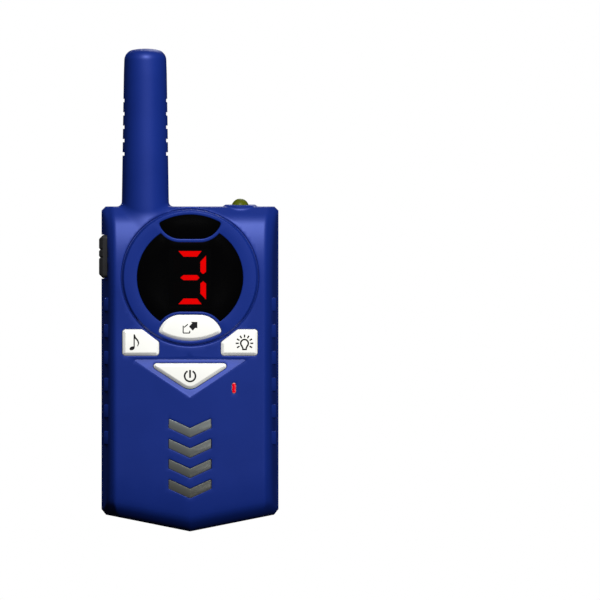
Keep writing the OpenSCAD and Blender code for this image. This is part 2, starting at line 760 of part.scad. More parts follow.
module radio_module() {
    color("silver") block([-9, pcb_back_y, 84], [9, pcb_back_y + 3, 98]);
}
module control_chip() {
    color("black") block([-5, pcb_back_y, 70.5], [5, pcb_back_y + 1.6, 77.5]);
    color("silver") for (s = [-1, 1], k = [0:6])
        block([min(s * 5, s * 6.4), pcb_back_y, 71 + 0.95 * k], [max(s * 5, s * 6.4), pcb_back_y + 0.7, 71.4 + 0.95 * k]);
}
module crystal() {
    color("silver") {
        for (s = [-1, 1]) rod_y(13 + s * 3, 74, 1.9, pcb_back_y, pcb_back_y + 3.4);
        block([10, pcb_back_y, 72.1], [16, pcb_back_y + 3.4, 75.9]);
    }
}
module capacitors() {
    color("navy") for (x = [-19, -13]) rod_y(x, 80, 2.4, pcb_back_y, pcb_back_y + 7);
    color("navy") rod_y(18, 86, 3.1, pcb_back_y, pcb_back_y + 8);
}
module battery_wires() {
    color("red") for (s = [-1, 1]) wire([[s * 14, part_y + 4, bay_top_z + 1.8],
        [s * 14, part_y + 3, bay_top_z + 4], [s * 14, pcb_back_y + 0.3, bay_top_z + 5]], 0.5);
}
module speaker_wires() {
    color("black") for (s = [-1, 1]) wire([[s * 3, inner_y + 5.85, speaker_z + 8.2],
        [s * 3, inner_y + 5.85, 39.3], [s * 3, pcb_back_y + 0.55, 40.9],
        [s * 3, pcb_back_y + 0.55, 46]], 0.45);
}
module torch_wires() {
    color("yellow") for (s = [-1, 1]) wire([[torch_x + s * 1.2, part_y, body_h - 5.85],
        [torch_x + s * 1.2, part_y - 1.2, body_h - 8], [torch_x + s * 1.2, pcb_back_y + 0.5, 98]], 0.4);
}
module antenna_wire() {
    color("white") wire([[-antenna_x, part_y, body_h - 1.55], [-antenna_x, part_y, 106],
        [-antenna_x, pcb_back_y + 0.5, 101], [-antenna_x, pcb_back_y + 0.5, 97]], 0.4);
}

front_shell();
rear_shell();
battery_cover();
cover_screw();
cover_foam();
belt_clip();
clip_pin();
clip_spring();
shell_screws();
display_bezel();
display_window();
top_window();
display_module();
lit_segments();
unlit_segments();
call_button();
music_button();
light_button();
power_button();
keypad_membrane();
main_pcb();
pcb_screws();
ptt_button();
ptt_switch();
indicator_light();
indicator_led();
torch_lens();
torch_led();
speaker_grille();
speaker_frame();
speaker_cone();
speaker_magnet();
microphone();
mic_boot();
antenna_coil();
antenna_former();
cell(1, true);  // battery_1
cell(2, false);  // battery_2
cell(3, true);  // battery_3
battery_springs();
battery_contacts();
radio_module();
control_chip();
crystal();
capacitors();
battery_wires();
speaker_wires();
torch_wires();
antenna_wire();
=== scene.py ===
"""Looks of the toy walkie talkie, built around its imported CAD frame. Shape values are in millimetres."""

import json
from math import acos, asin, atan, atan2, cos, degrees, hypot, pi, radians, sin, sqrt, tan

import bmesh
import bpy
import numpy as np
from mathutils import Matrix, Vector
from mathutils.geometry import delaunay_2d_cdt


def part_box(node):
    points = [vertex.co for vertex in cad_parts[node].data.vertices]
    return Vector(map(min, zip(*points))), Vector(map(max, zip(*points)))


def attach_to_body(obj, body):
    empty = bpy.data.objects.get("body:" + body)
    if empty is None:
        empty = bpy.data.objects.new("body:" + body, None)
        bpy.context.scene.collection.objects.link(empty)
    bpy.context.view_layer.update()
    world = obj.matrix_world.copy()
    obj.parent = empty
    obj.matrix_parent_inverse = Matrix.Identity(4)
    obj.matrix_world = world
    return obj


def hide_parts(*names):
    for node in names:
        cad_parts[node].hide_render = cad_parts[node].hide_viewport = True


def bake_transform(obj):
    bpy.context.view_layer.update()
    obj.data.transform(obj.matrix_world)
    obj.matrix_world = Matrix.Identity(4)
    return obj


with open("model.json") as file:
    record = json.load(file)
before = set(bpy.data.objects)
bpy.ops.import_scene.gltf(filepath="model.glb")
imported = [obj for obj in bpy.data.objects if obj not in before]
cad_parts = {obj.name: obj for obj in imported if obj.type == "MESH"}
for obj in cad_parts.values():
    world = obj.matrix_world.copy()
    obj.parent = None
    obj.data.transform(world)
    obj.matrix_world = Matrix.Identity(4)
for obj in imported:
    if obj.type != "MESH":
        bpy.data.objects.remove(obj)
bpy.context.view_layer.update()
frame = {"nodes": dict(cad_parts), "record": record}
NODE_SLOT = {row["node"]: row["material_slot"] for row in frame["record"]["subparts"]}
MM = 0.001


def box_mm(node):
    """Lowest and highest corner of a CAD node, in millimetres."""
    lo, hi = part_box(node)
    return np.array(lo) / MM, np.array(hi) / MM


# ---- sizes taken from the frame

(_, FRONT_Y, _), (HALF_W, PART_Y, TIP_Z) = box_mm("front_shell")
BACK_Y = box_mm("battery_cover")[1][1]
BEZEL_Y, BEZEL_BACK = (corner[1] for corner in box_mm("display_bezel"))
KEY_Y = box_mm("call_button")[0][1]
WINDOW_BACK = box_mm("display_window")[1][1]
PTT_FACE = box_mm("ptt_button")[0][0]
CLIP_LO, CLIP_HI = box_mm("belt_clip")

# ---- sizes that follow the CAD source

BODY_H = 110.2
V_SLOPE = 0.2
V_COS = cos(atan(V_SLOPE))
CORNER_TOP = 1.4
CORNER_LOW, CORNER_LOW_H = 1.5, 1.6
BROW_TILT = (0, 5, 22, 48)
BROW_R = (103, 44.9, 10.3)
BROW_Z = 82
FACE_FALL = 0.024
BEVEL_X, BEVEL_Y, BEVEL_SPAN = 25.5, 0.6, (2.15, 2.1, 3.0)
SIDE_X, SIDE_Y, SIDE_SPAN = 27.6, 2.6, (10.4, 2.4, 10.67)
REAR_DRAFT, REAR_ROUND = 0.11, 4
ANTENNA_X = -15.15
ANTENNA_FOOT_R, ANTENNA_TIP_R, ANTENNA_FILLET = 8, 7.15, 1.6
TIP_ROUND, TIP_DOME_R = 3.6, 4.17
TIP_ROUND_Z = TIP_Z - 3.95
NOTCH_Z = [BODY_H + 17.8 + 4.53 * k for k in range(5)]
NOTCH_H, NOTCH_X, NOTCH_LIP = 1.1, 7.1, 0.12
TORCH_X = 17
BOSS_R, BOSS_H = (5.75, 5.0), 0.65
BEZEL_Z, BEZEL_R = 86.07, 23.05
WINDOW_R = 18
LENS_OUTER_R, LENS_SIDE_R, LENS_SIDE_X = 21.35, 7.7, 3.2
CALL_FLAT, TOP_FLAT = 12.61, 13.09
SIDE_KEY = [(-23.05, 59.5), (-10.34, 59.5), (-10.34, 64.3), (-16.07, 68.7), (-23.05, 68.7)]
POWER_KEY = [(0, 47.61), (14.55, 57.0), (-14.55, 57.0)]
RECESS, RECESS_TILT = [(0, 45.32), (19.3, 58.34), (-19.3, 58.34)], 19.5
CHEVRON_Z = [38.3 - 6.86 * k for k in range(4)]
CHEVRON_W, CHEVRON_H, CHEVRON_DROP = 7.2, 3.15, 3.3
LIGHT_X, LIGHT_Z = 14.9, 48.6
POST_X, POST_Z, WELL_R, SCREW_R = 23.6, (14, 104.6), 2.8, 1.5
COVER_X, COVER_TOP, COVER_Y = 18.05, 62.8, BACK_Y - 1.8
COVER_SCREW_Z, COVER_EAR_R = 64.2, 4.3
HINGE_Y, HINGE_Z, HINGE_R = BACK_Y - 1.4, 8.8, 1.4
BAY_X, BAY_LOW, BAY_TOP = 16.4, 11.8, 61.4
CLIP_Y, CLIP_Z = BACK_Y + 3.2, 101
EAR_X, EAR_HALF, EAR_R, ARM_EAR_R = 9.6, 1.25, 2.8, 2.3
RIBS_Z, RIB_H = [29.4 + 9.05 * k for k in range(6)], 4.6
PTT_Z, PTT_HALF_H, PTT_HALF_D, PTT_GAP = 93.2, 7.3, 6.8, 0.15
PTT_TOP, PTT_BOTTOM = PTT_Z + PTT_HALF_H + PTT_GAP, PTT_Z - PTT_HALF_H - PTT_GAP
INK_H = 0.045
KEY_GAP = 0.15
NOTCH_FRONT_X, NOTCH_REAR_X = -28.1, -29.2
SEAM = 0.16
HOLE_EDGE = 0.22

# ---- plane outlines


def arc(centre, r, a0, a1, n):
    """Points of an arc, its angles in degrees."""
    a = np.radians(np.linspace(a0, a1, n + 1))
    return np.stack([centre[0] + r * np.cos(a), centre[1] + r * np.sin(a)], 1)


def circle(centre, r, n):
    return arc(centre, r, 0, 360 * (n - 1) / n, n - 1)


def rect(x0, z0, x1, z1):
    return [(x0, z0), (x1, z0), (x1, z1), (x0, z1)]


def mirrored(loop):
    """A loop reflected to the other side, still counterclockwise."""
    return (loop * [-1, 1])[::-1]


def moved_out(loop, g, blunt=0.8):
    """A counterclockwise loop moved out by g, one number or one for each point. blunt keeps sharp tips short."""
    p = np.asarray(loop, float)
    t = np.roll(p, -1, axis=0) - p
    t /= np.linalg.norm(t, axis=1)[:, None] + 1e-12
    n = np.stack([t[:, 1], -t[:, 0]], 1)
    m = n + np.roll(n, 1, axis=0)
    m /= np.maximum((m * m).sum(1), blunt)[:, None] / 2
    return p + m * np.broadcast_to(g, len(p))[:, None]


def rounded(points, radii, n=6):
    """A counterclockwise polygon with an arc of n steps at each corner."""
    out = []
    m = len(points)
    for k in range(m):
        a, p, b = (np.array(points[(k + s) % m], float) for s in (-1, 0, 1))
        u, v = (a - p) / np.linalg.norm(a - p), (b - p) / np.linalg.norm(b - p)
        half = acos(np.clip(u @ v, -1, 1)) / 2
        c = p + (u + v) / np.linalg.norm(u + v) * radii[k] / sin(half)
        s, e = p + u * radii[k] / tan(half) - c, p + v * radii[k] / tan(half) - c
        a0 = atan2(s[1], s[0])
        turn = atan2(s[0] * e[1] - s[1] * e[0], s @ e)
        for i in range(n + 1):
            t = a0 + turn * i / n
            out.append(c + radii[k] * np.array([cos(t), sin(t)]))
    return np.array(out)


def grown(points, radii, g):
    """A rounded polygon grown by g, with the same number of points at any g."""
    return rounded(moved_out(points, g, 0), [max(r + g, 0.06) for r in radii])


def left_key(g):
    return grown(SIDE_KEY, [1.2] * 5, g - 0.2)


def right_key(g):
    return mirrored(left_key(g))


def power_key(g):
    return grown(POWER_KEY, [4, 0.95, 0.95], g)


def recess(g):
    return grown(RECESS, [0.5, 0.25, 0.25], g)


def chevron(z, g):
    w, low, drop = CHEVRON_W, z - CHEVRON_H, CHEVRON_DROP
    points = [(-w, low), (0, low - drop), (w, low), (w, z), (0, z - drop), (-w, z)]
    return grown(points, [0.25, 0.4, 0.25, 0.25, 0.4, 0.25], g)


def pill(g):
    return np.concatenate([arc((LIGHT_X, LIGHT_Z + s * 1.2), 0.62 + g, a, a + 180, 12) for s, a in ((1, 0), (-1, 180))])


def bezel_circle(grow):
    return circle((0, BEZEL_Z), BEZEL_R + grow, 160)


def crossing(r, side, z):
    """Where the circle of radius r about the bezel's middle meets a lens's side circle centred at height z: the
    angles of that point seen from the two centres."""
    d = hypot(LENS_SIDE_X, z)
    along = (r**2 - side**2 + d**2) / (2 * d)
    u = np.array([LENS_SIDE_X, z]) / d
    tip = u * along + sqrt(r**2 - along**2) * np.array([u[1], -u[0]])
    return degrees(atan2(tip[1], tip[0])), degrees(atan2(tip[1] - z, tip[0] - LENS_SIDE_X))


def lens(g, flat, up):
    """The shape between the rim circle and two side arcs that a flat joins, grown by g; up is 1 or -1."""
    outer, side, z = LENS_OUTER_R + g, LENS_SIDE_R + g, flat + LENS_SIDE_R
    a_rim, a_tip = crossing(outer, side, z)
    low = arc((LENS_SIDE_X, z), side, -90, a_tip, 14)
    loop = np.concatenate([low, arc((0, 0), outer, a_rim, 180 - a_rim, 36)[1:-1], mirrored(low)])
    for tip in (len(low) - 1, len(loop) - len(low)):
        loop[tip] = loop[tip] * 0.45 + (loop[tip - 1] + loop[tip + 1]) / 2 * 0.55
    return (loop if up > 0 else (loop * [1, -1])[::-1]) + [0, BEZEL_Z]


def display_hole(g):
    """The round display opening, less what the two lens shapes and their rims take from it."""
    r = WINDOW_R + g
    sides = []
    for flat, margin in ((TOP_FLAT, 1.15), (CALL_FLAT, 1.07)):
        side, z = LENS_SIDE_R + margin - g, flat + LENS_SIDE_R
        a_rim, a_tip = crossing(r, side, z)
        sides.append((a_rim, arc((LENS_SIDE_X, z), side, a_tip, -90, 14)))
    (a_top, top), (a_low, low) = sides
    right = arc((0, 0), r, -a_low, a_top, 48)[1:-1]
    return np.concatenate([right, top, mirrored(top), mirrored(right), -low, (low * [1, -1])[::-1]]) + [0, BEZEL_Z]


# ---- mesh tools


def at_depth(points, y):
    """Points (x, z) placed at depth y, one number or one for each point."""
    return [(p[0], d, p[1]) for p, d in zip(points, np.broadcast_to(y, len(points)))]


class Surface:
    """Vertices in millimetres and faces, collected piece by piece."""

    def __init__(self):
        self.verts = []
        self.faces = []

    def take(self, points):
        """Adds points in space and returns their indices."""
        start = len(self.verts)
        self.verts += [tuple(p) for p in points]
        return list(range(start, start + len(points)))

    def bridge(self, a, b):
        self.faces += [(a[k - 1], a[k], b[k], b[k - 1]) for k in [*range(1, len(a)), 0]]

    def wall(self, ids, points, y):
        """Joins a ring to a new one at depth y, and returns the new ring's indices."""
        made = self.take(at_depth(points, y))
        self.bridge(ids, made)
        return made

    def cap(self, ring):
        self.faces.append(tuple(ring))

    def tube(self, rings, low=True, high=True):
        """Joins rings of points in space, and closes the first and the last."""
        made = [self.take(ring) for ring in rings]
        for a, b in zip(made, made[1:]):
            self.bridge(a, b)
        if low:
            self.cap(made[0])
        if high:
            self.cap(made[-1])

    def loft(self, rings, low=True, high=True):
        """A tube through (points, y) rings."""
        self.tube([at_depth(p, y) for p, y in rings], low, high)

    def patch(self, outer, holes=(), steps=(), points=(), depth=None):
        """A triangulated sheet. outer, holes and steps are (points, depths) loops, holes are left open,
        and points are free ones whose depth comes from the function. Returns the indices of each loop."""
        loops = [outer, *holes, *steps]
        flat = np.concatenate([np.asarray(p, float) for p, _ in loops] + [np.asarray(points, float).reshape(-1, 2)])
        spans = []
        for p, _ in loops:
            at = spans[-1][-1] + 1 if spans else 0
            spans.append(range(at, at + len(p)))
        edges = [(span[k - 1], span[k]) for span in spans for k in [*range(1, len(span)), 0]]
        known = np.concatenate([np.broadcast_to(y, len(p)) for p, y in loops])
        co, _, faces, source, _, _ = delaunay_2d_cdt([Vector(p) for p in flat], edges, [], 0, 1e-6)
        co = np.array([tuple(c) for c in co])
        y = np.full(len(co), np.nan)
        where = {}
        for i, ids in enumerate(source):
            where.update((j, i) for j in ids)
            held = [j for j in ids if j < len(known)]
            if held:
                y[i] = known[held[0]]
        free = np.isnan(y)
        if free.any():
            y[free] = depth(co[free, 0], co[free, 1])
        tri = np.array([f for f in faces if len(f) == 3])
        mid = co[tri].mean(1)
        keep = inside(mid, outer[0])
        for p, _ in holes:
            keep &= ~inside(mid, p)
        start = len(self.verts)
        self.take(at_depth(co, y))
        self.faces += [tuple(int(i) + start for i in t) for t in tri[keep]]
        return [[where[k] + start for k in span] for span in spans]

    def solid(self, name, material, body="root", node=None, slot=None, wall=0, weld=0.004, angle=40, out=0):
        """Makes the object, in place of a CAD node where one is named. wall is the thickness that a sheet gets
        inwards, and out is 1 or -1, the way along Y that most of a sheet's outward normals point."""
        mesh = bpy.data.meshes.new(name)
        mesh.from_pydata([tuple(c * MM for c in v) for v in self.verts], [], self.faces)
        bm = bmesh.new()
        bm.from_mesh(mesh)
        bmesh.ops.remove_doubles(bm, verts=bm.verts, dist=weld * MM)
        bmesh.ops.dissolve_degenerate(bm, edges=bm.edges, dist=1e-7)
        bmesh.ops.delete(bm, geom=[v for v in bm.verts if not v.link_faces], context="VERTS")
        bmesh.ops.recalc_face_normals(bm, faces=bm.faces)
        if out * sum(f.normal.y * f.calc_area() for f in bm.faces) < 0:
            bmesh.ops.reverse_faces(bm, faces=bm.faces)
        bm.to_mesh(mesh)
        bm.free()
        for p in mesh.polygons:
            p.use_smooth = True
        mesh.set_sharp_from_angle(angle=radians(angle))
        mesh.materials.append(material)
        obj = bpy.data.objects.new(name, mesh)
        place(obj)
        if body:
            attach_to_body(obj, body)
        if wall:
            thick = obj.modifiers.new("wall", "SOLIDIFY")
            thick.thickness = wall * MM
            thick.offset = -1
        if node:
            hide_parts(node)
        slot or NODE_SLOT[node]
        return obj


def place(obj):
    bpy.context.scene.collection.objects.link(obj)


def inside(points, loop):
    """Which points lie inside a closed loop."""
    p, q = np.asarray(loop), np.roll(loop, -1, axis=0)
    x, z = points[:, 0][:, None], points[:, 1][:, None]
    spans = (p[:, 1] > z) != (q[:, 1] > z)
    with np.errstate(divide="ignore", invalid="ignore"):
        cross = x < p[:, 0] + (z - p[:, 1]) * (q[:, 0] - p[:, 0]) / (q[:, 1] - p[:, 1])
    return (spans & cross).sum(1) % 2 == 1


def distance(points, loop):
    """Distance from each point to a closed loop."""
    p, q = np.asarray(loop), np.roll(loop, -1, axis=0)
    d = q - p
    rel = points[:, None, :] - p[None]
    t = np.clip((rel * d).sum(2) / np.maximum((d * d).sum(1), 1e-12), 0, 1)
    return np.sqrt(((rel - t[..., None] * d) ** 2).sum(2)).min(1)


def clear_of(points, loops, gap):
    """The points that are more than gap from every loop."""
    keep = np.ones(len(points), bool)
    for loop in loops:
        near = (points > np.min(loop, 0) - gap).all(1) & (points < np.max(loop, 0) + gap).all(1)
        idx = np.nonzero(near)[0]
        if len(idx):
            keep[idx] &= distance(points[idx], loop) > gap
    return points[keep]


def prism_x(surface, section, x0, x1, edge):
    """A prism along X over a (y, z) section, with rolled ends."""
    ends = ((x0, -edge), (x0 + 0.3 * edge, -0.3 * edge), (x0 + edge, 0),
            (x1 - edge, 0), (x1 - 0.3 * edge, -0.3 * edge), (x1, -edge))
    surface.tube([[(x, p[0], p[1]) for p in moved_out(section, g)] for x, g in ends])


def prism_y(surface, outline, y0, y1, edge0, edge1):
    """A prism along Y over an (x, z) outline, with a rolled edge at each end; y0 is the lower."""
    rings = []
    for y, way, edge, angles in ((y0, 1, edge0, (0, 30, 60, 90)), (y1, -1, edge1, (90, 60, 30, 0))):
        for t in np.radians(angles):
            rings.append((moved_out(outline, -edge * (1 - sin(t))), y + way * edge * (1 - cos(t))))
    surface.loft(rings)


def turned(surface, centre, profile, n, axis):
    """A solid of revolution about x or z. profile is (distance, radius) pairs along the axis."""
    rings = []
    for d, r in profile:
        around = [(r * cos(a), r * sin(a)) for a in (2 * pi * k / n for k in range(n))]
        if axis == "x":
            rings.append([(d, centre[1] + u, centre[2] + v) for u, v in around])
        else:
            rings.append([(centre[0] + u, centre[1] + v, d) for u, v in around])
    surface.tube(rings)


# ---- shape of the case


def round_max(a, b, r):
    """Intersection of two distances, with its edge rounded to radius r."""
    u, v = np.maximum(r + a, 0), np.maximum(r + b, 0)
    return np.minimum(-r, np.maximum(a, b)) + np.hypot(u, v)


def round_min(a, b, r):
    """Union of two distances, with its inner corner filled to radius r."""
    u, v = np.maximum(r - a, 0), np.maximum(r - b, 0)
    return np.maximum(r, np.minimum(a, b)) - np.hypot(u, v)


def brow(z):
    """Depth and slope angle of the middle of the front face at height z."""
    y0, z0 = FRONT_Y, BROW_Z
    y, tilt = np.full_like(z, FRONT_Y), np.zeros_like(z)
    for k, r in enumerate(BROW_R):
        a0, a1 = radians(BROW_TILT[k]), radians(BROW_TILT[k + 1])
        a = np.arcsin(np.clip(sin(a0) + (z - z0) / r, sin(a0), sin(a1)))
        y = np.where(z > z0, y0 + r * (cos(a0) - np.cos(a)), y)
        tilt = np.where(z > z0, a, tilt)
        y0, z0 = y0 + r * (cos(a0) - cos(a1)), z0 + r * (sin(a1) - sin(a0))
    return np.where(z > z0, y0 + (z - z0) * tan(radians(BROW_TILT[-1])), y), tilt


def antenna_r(z):
    """Radius of the antenna at height z: a slight taper, a rounded edge and a flat dome."""
    r = np.interp(z, [BODY_H, BODY_H + 32, TIP_Z - 8.5, TIP_ROUND_Z],
                  [ANTENNA_FOOT_R, 7.5, ANTENNA_TIP_R + 0.15, ANTENNA_TIP_R])
    t = (z - TIP_ROUND_Z) / TIP_ROUND
    end = sin(radians(80))
    r = np.where(t > 0, ANTENNA_TIP_R - TIP_ROUND + TIP_ROUND * np.sqrt(1 - np.clip(t, 0, end) ** 2), r)
    edge = TIP_ROUND_Z + TIP_ROUND * end
    return np.where(z > edge, TIP_DOME_R * np.sqrt(np.clip((TIP_Z - z) / (TIP_Z - edge), 0, 1)), r)


def outline_walls(x, z):
    """Top, corner, low corner and flank distances that the front and the rear share."""
    corner = (x - HALF_W + z - (BODY_H - CORNER_TOP)) / sqrt(2)
    rise = CORNER_LOW_H + V_SLOPE * CORNER_LOW
    low = (x - HALF_W) * rise - (z - V_SLOPE * HALF_W - CORNER_LOW_H) * CORNER_LOW
    return z - BODY_H, corner, low / hypot(CORNER_LOW, rise), (V_SLOPE * x - z) * V_COS


def attach(g, x, y, z):
    """The case distance joined with the antenna and the torch boss."""
    rod = np.hypot(x - ANTENNA_X, y - PART_Y) - antenna_r(np.maximum(z, BODY_H - 30))
    g = round_min(g, np.where(z < BODY_H - 12, 9.0, rod), ANTENNA_FILLET)
    boss_r = np.interp(z, [BODY_H, BODY_H + BOSS_H], BOSS_R)
    boss = np.maximum(np.hypot(x - TORCH_X, 1.2 * (y - PART_Y)) - boss_r, z - BODY_H - BOSS_H)
    return round_min(g, boss, 0.35)


def front_distance(x, y, z):
    """Distance to the front half: the face with its brow and its foot, a bevel down each side and the walls."""
    ax = np.abs(x)
    y_mid, tilt = brow(z)
    top, corner, low, flank = outline_walls(ax, z)
    foot = 60 - np.sqrt(3600 - np.clip(16 + flank, 0, 16) ** 2)
    g = (y_mid + foot + FACE_FALL * ax - y) * np.cos(tilt)
    run, rise, span = BEVEL_SPAN
    bevel = ((ax - BEVEL_X) * run - (y - FRONT_Y - BEVEL_Y - foot - 0.9 * (y_mid - FRONT_Y)) * rise) / span
    run, rise, span = SIDE_SPAN
    side = ((ax - SIDE_X) * run - (y - FRONT_Y - SIDE_Y) * rise) / span
    for wall, r in ((bevel, 0.5), (flank, 5.5), (side, 0.9), (low, 0.5), (top, 0.5), (corner, 0.5)):
        g = round_max(g, wall, r)
    return attach(g, x, y, z)


def rear_distance(x, y, z):
    """Distance to the rear half, whose face meets the walls in wide rounds."""
    ax = np.abs(x)
    face = y - BACK_Y
    top, corner, low, flank = outline_walls(ax, z)
    g = round_max(face, ax - HALF_W + (y - PART_Y) * REAR_DRAFT, REAR_ROUND)
    for wall in (round_max(face, flank, REAR_ROUND), round_max(face, top, REAR_ROUND), low, corner):
        g = round_max(g, wall, 0.5)
    return attach(g, x, y, z)


def depth_of(distance_at, y_out, y_in):
    """A function that finds where a line along Y first meets the solid, from outside at y_out."""

    def depth(x, z):
        x, z = np.asarray(x, float), np.asarray(z, float)
        out, hit = np.full(x.shape, float(y_out)), np.full(x.shape, float(y_in))
        for _ in range(40):
            mid = (out + hit) / 2
            solid = distance_at(x, mid, z) <= 0
            hit, out = np.where(solid, mid, hit), np.where(solid, out, mid)
        return hit

    return depth


front_depth = depth_of(front_distance, FRONT_Y - 1, PART_Y)
rear_depth = depth_of(rear_distance, BACK_Y + 1, PART_Y)


def flat_at(y):
    return lambda x, z: np.full(np.shape(x), float(y))


# ---- outline and grid of the shells

# The grid's points share rows and columns with the outline, so that no long thin faces form along it.
TOP_ROWS = BODY_H - np.array([0.42, 0.3, 0.2, 0.12, 0.06, 0.02, 0.006])
TIP_DOME = 0.4
BOSS_FOOT_R = BOSS_R[0] + 0.1
BOSS_REACH = BOSS_R[0] + 2.2
ROD_GRID_R = ANTENNA_FOOT_R + ANTENNA_FILLET
ROD_REACH = ROD_GRID_R + 1.8
CLOSE_COLUMNS = np.arange(ANTENNA_X + ROD_REACH + 0.45, TORCH_X - BOSS_REACH - 0.2, 0.3)


def grid(xs, zs):
    """Every pair of the two lists, as points."""
    xx, zz = np.meshgrid(xs, zs)
    return np.stack([xx.ravel(), zz.ravel()], 1)


def path(*stops):
    """Points along straight legs, given as point, step, point and so on, without the last point."""
    out = []
    for a, step, b in zip(stops[::2], stops[1::2], stops[2::2]):
        a, b = np.array(a, float), np.array(b, float)
        n = max(1, round(np.linalg.norm(b - a) / step))
        out += [tuple(a + (b - a) * k / n) for k in range(n)]
    return out


def plain_rows():
    """Heights of the antenna's rows that cross no notch, as three lists: below, between and above the notches."""
    reach = NOTCH_H / 2 + NOTCH_LIP
    gaps = [(a + b) / 2 + s for a, b in zip(NOTCH_Z, NOTCH_Z[1:]) for s in (-0.7, 0.7)]
    return (list(np.arange(BODY_H + 3, NOTCH_Z[0] - reach - 0.4, 1.1)), gaps,
            list(np.arange(NOTCH_Z[-1] + reach + 0.8, TIP_Z - 4.6, 1.1)))


def antenna_side():
    """Outline of the antenna right of its axis, from the top of the fillet up to the tip."""
    points = []
    for z in sorted(sum(plain_rows(), NOTCH_Z)):
        r = float(antenna_r(np.array(z)))
        if z not in NOTCH_Z:
            points.append((r, z))
            continue
        low, high = z - NOTCH_H / 2, z + NOTCH_H / 2
        mouth = r * np.sin(np.radians([85, 80, 75]))
        points += [(r, low - NOTCH_LIP), *((x, low) for x in mouth), (NOTCH_X, low), (NOTCH_X, z), (NOTCH_X, high),
                   *((x, high) for x in mouth[::-1]), (r, high + NOTCH_LIP)]
    points += [(ANTENNA_TIP_R - TIP_ROUND + TIP_ROUND * cos(a), TIP_ROUND_Z + TIP_ROUND * sin(a))
               for a in np.radians(np.arange(0, 81, 8))]
    return points + [(TIP_DOME_R * t, TIP_Z - TIP_DOME * t * t) for t in (0.85, 0.65, 0.4, 0.15)]


def columns():
    """Places of the grid's columns across the case, closer together where the sides curve."""
    bends = [23.2, 23.9, 24.4, 24.8, 25.1, 25.4, 25.7, 26.0, 26.3, 26.6, 26.9, 27.2, 27.6, 28.0, 28.4, 28.8, 29.1,
             29.4, 29.65, 29.85]
    half = np.concatenate([[0.12], np.arange(1.5, 23, 1.5), bends])
    return np.concatenate([-half[::-1], half])


def foot_columns(cx, r):
    """Places of the columns about a round foot of radius r that rises from the shoulder."""
    beside = r + np.array([0.3, 0.6, 1.0, 1.5, 2.0])
    return cx + np.concatenate([-beside[::-1], r * np.sin(np.radians(np.arange(-85, 86, 5))), beside])


def silhouette(notch_x):
    """Outline of the shell in front view, counterclockwise from the tip of the foot. The push-to-talk notch is
    cut in to notch_x."""

    def shoulder(*places):
        """Points along the top edge, from right to left."""
        return [(x, BODY_H) for x in sorted(np.concatenate(places))[::-1]]

    side_low = V_SLOPE * HALF_W + CORNER_LOW_H
    chamfer_x, chamfer_z = HALF_W - CORNER_LOW, V_SLOPE * (HALF_W - CORNER_LOW)
    side_top, corner_x = BODY_H - CORNER_TOP, HALF_W - CORNER_TOP
    right = path((0, 0), 1.2, (chamfer_x, chamfer_z), 0.6, (HALF_W, side_low), 1.5, (HALF_W, side_top), 0.5,
                 (corner_x, BODY_H))

    boss = [(BOSS_R[0] + 0.3, BODY_H), (BOSS_R[0] + 0.02, BODY_H + 0.12), (BOSS_R[0] - 0.3, BODY_H + 0.35),
            (BOSS_R[1] + 0.12, BODY_H + BOSS_H - 0.1), (BOSS_R[1] - 0.1, BODY_H + BOSS_H)]
    by_boss, x = foot_columns(TORCH_X, BOSS_FOOT_R), columns()
    top = [(corner_x, BODY_H)] + shoulder(x[(x > TORCH_X + BOSS_REACH) & (x < corner_x)],
                                          by_boss[by_boss > TORCH_X + boss[0][0] + 0.05])
    top += [(TORCH_X + x, z) for x, z in boss]
    top += [(x, boss[-1][1]) for x in by_boss[::-1] if abs(x - TORCH_X) < boss[-1][0] - 0.1]
    top += [(TORCH_X - x, z) for x, z in boss[::-1]]

    flare = arc((ROD_GRID_R, BODY_H + ANTENNA_FILLET), ANTENNA_FILLET, 270, 180, 7)
    by_rod, clear = foot_columns(ANTENNA_X, ROD_GRID_R), flare[0][0] + 0.2
    top += shoulder(by_boss[by_boss < TORCH_X - boss[0][0] - 0.05],
                    CLOSE_COLUMNS[CLOSE_COLUMNS < TORCH_X - BOSS_REACH], by_rod[by_rod > ANTENNA_X + clear])
    half = [tuple(p) for p in flare] + antenna_side()
    top += [(ANTENNA_X + s * x, z) for s, side in ((1, half + [(0, TIP_Z)]), (-1, half[::-1])) for x, z in side]

    by_rod = by_rod[by_rod < ANTENNA_X - clear]
    left = shoulder(by_rod, x[(x > -corner_x + 0.1) & (x < by_rod.min() - 0.1)])
    left += path((-corner_x, BODY_H), 0.5, (-HALF_W, side_top), 1.5, (-HALF_W, PTT_TOP), 0.4, (notch_x, PTT_TOP), 1.2,
                 (notch_x, PTT_BOTTOM), 0.4, (-HALF_W, PTT_BOTTOM), 1.5, (-HALF_W, side_low), 0.6,
                 (-chamfer_x, chamfer_z), 1.2, (0, 0))
    return np.array(right + top + left)


def case_grid(foot_r, fine_from):
    """Points over the case that follow the V of the foot, closer together where the surface curves."""
    foot = foot_r * (1 - np.cos(np.radians(np.arange(8, 91, 8.2)))) / V_COS
    rows = np.concatenate([foot, np.arange(foot_r + 1.6, BROW_Z - 4, 1.6), np.arange(BROW_Z - 4, fine_from, 1.0),
                           np.arange(fine_from, BODY_H - 0.45, 0.45), TOP_ROWS])
    case = grid(columns(), rows)
    case[:, 1] += np.clip((26 - case[:, 1]) / 16, 0, 1) * V_SLOPE * np.abs(case[:, 0])
    over_bezel = (case[:, 0] > CLOSE_COLUMNS[0] - 0.2) & (case[:, 0] < CLOSE_COLUMNS[-1] + 0.2)
    return np.concatenate([case[~(over_bezel & (case[:, 1] > BODY_H - 0.44))], grid(CLOSE_COLUMNS, TOP_ROWS)])


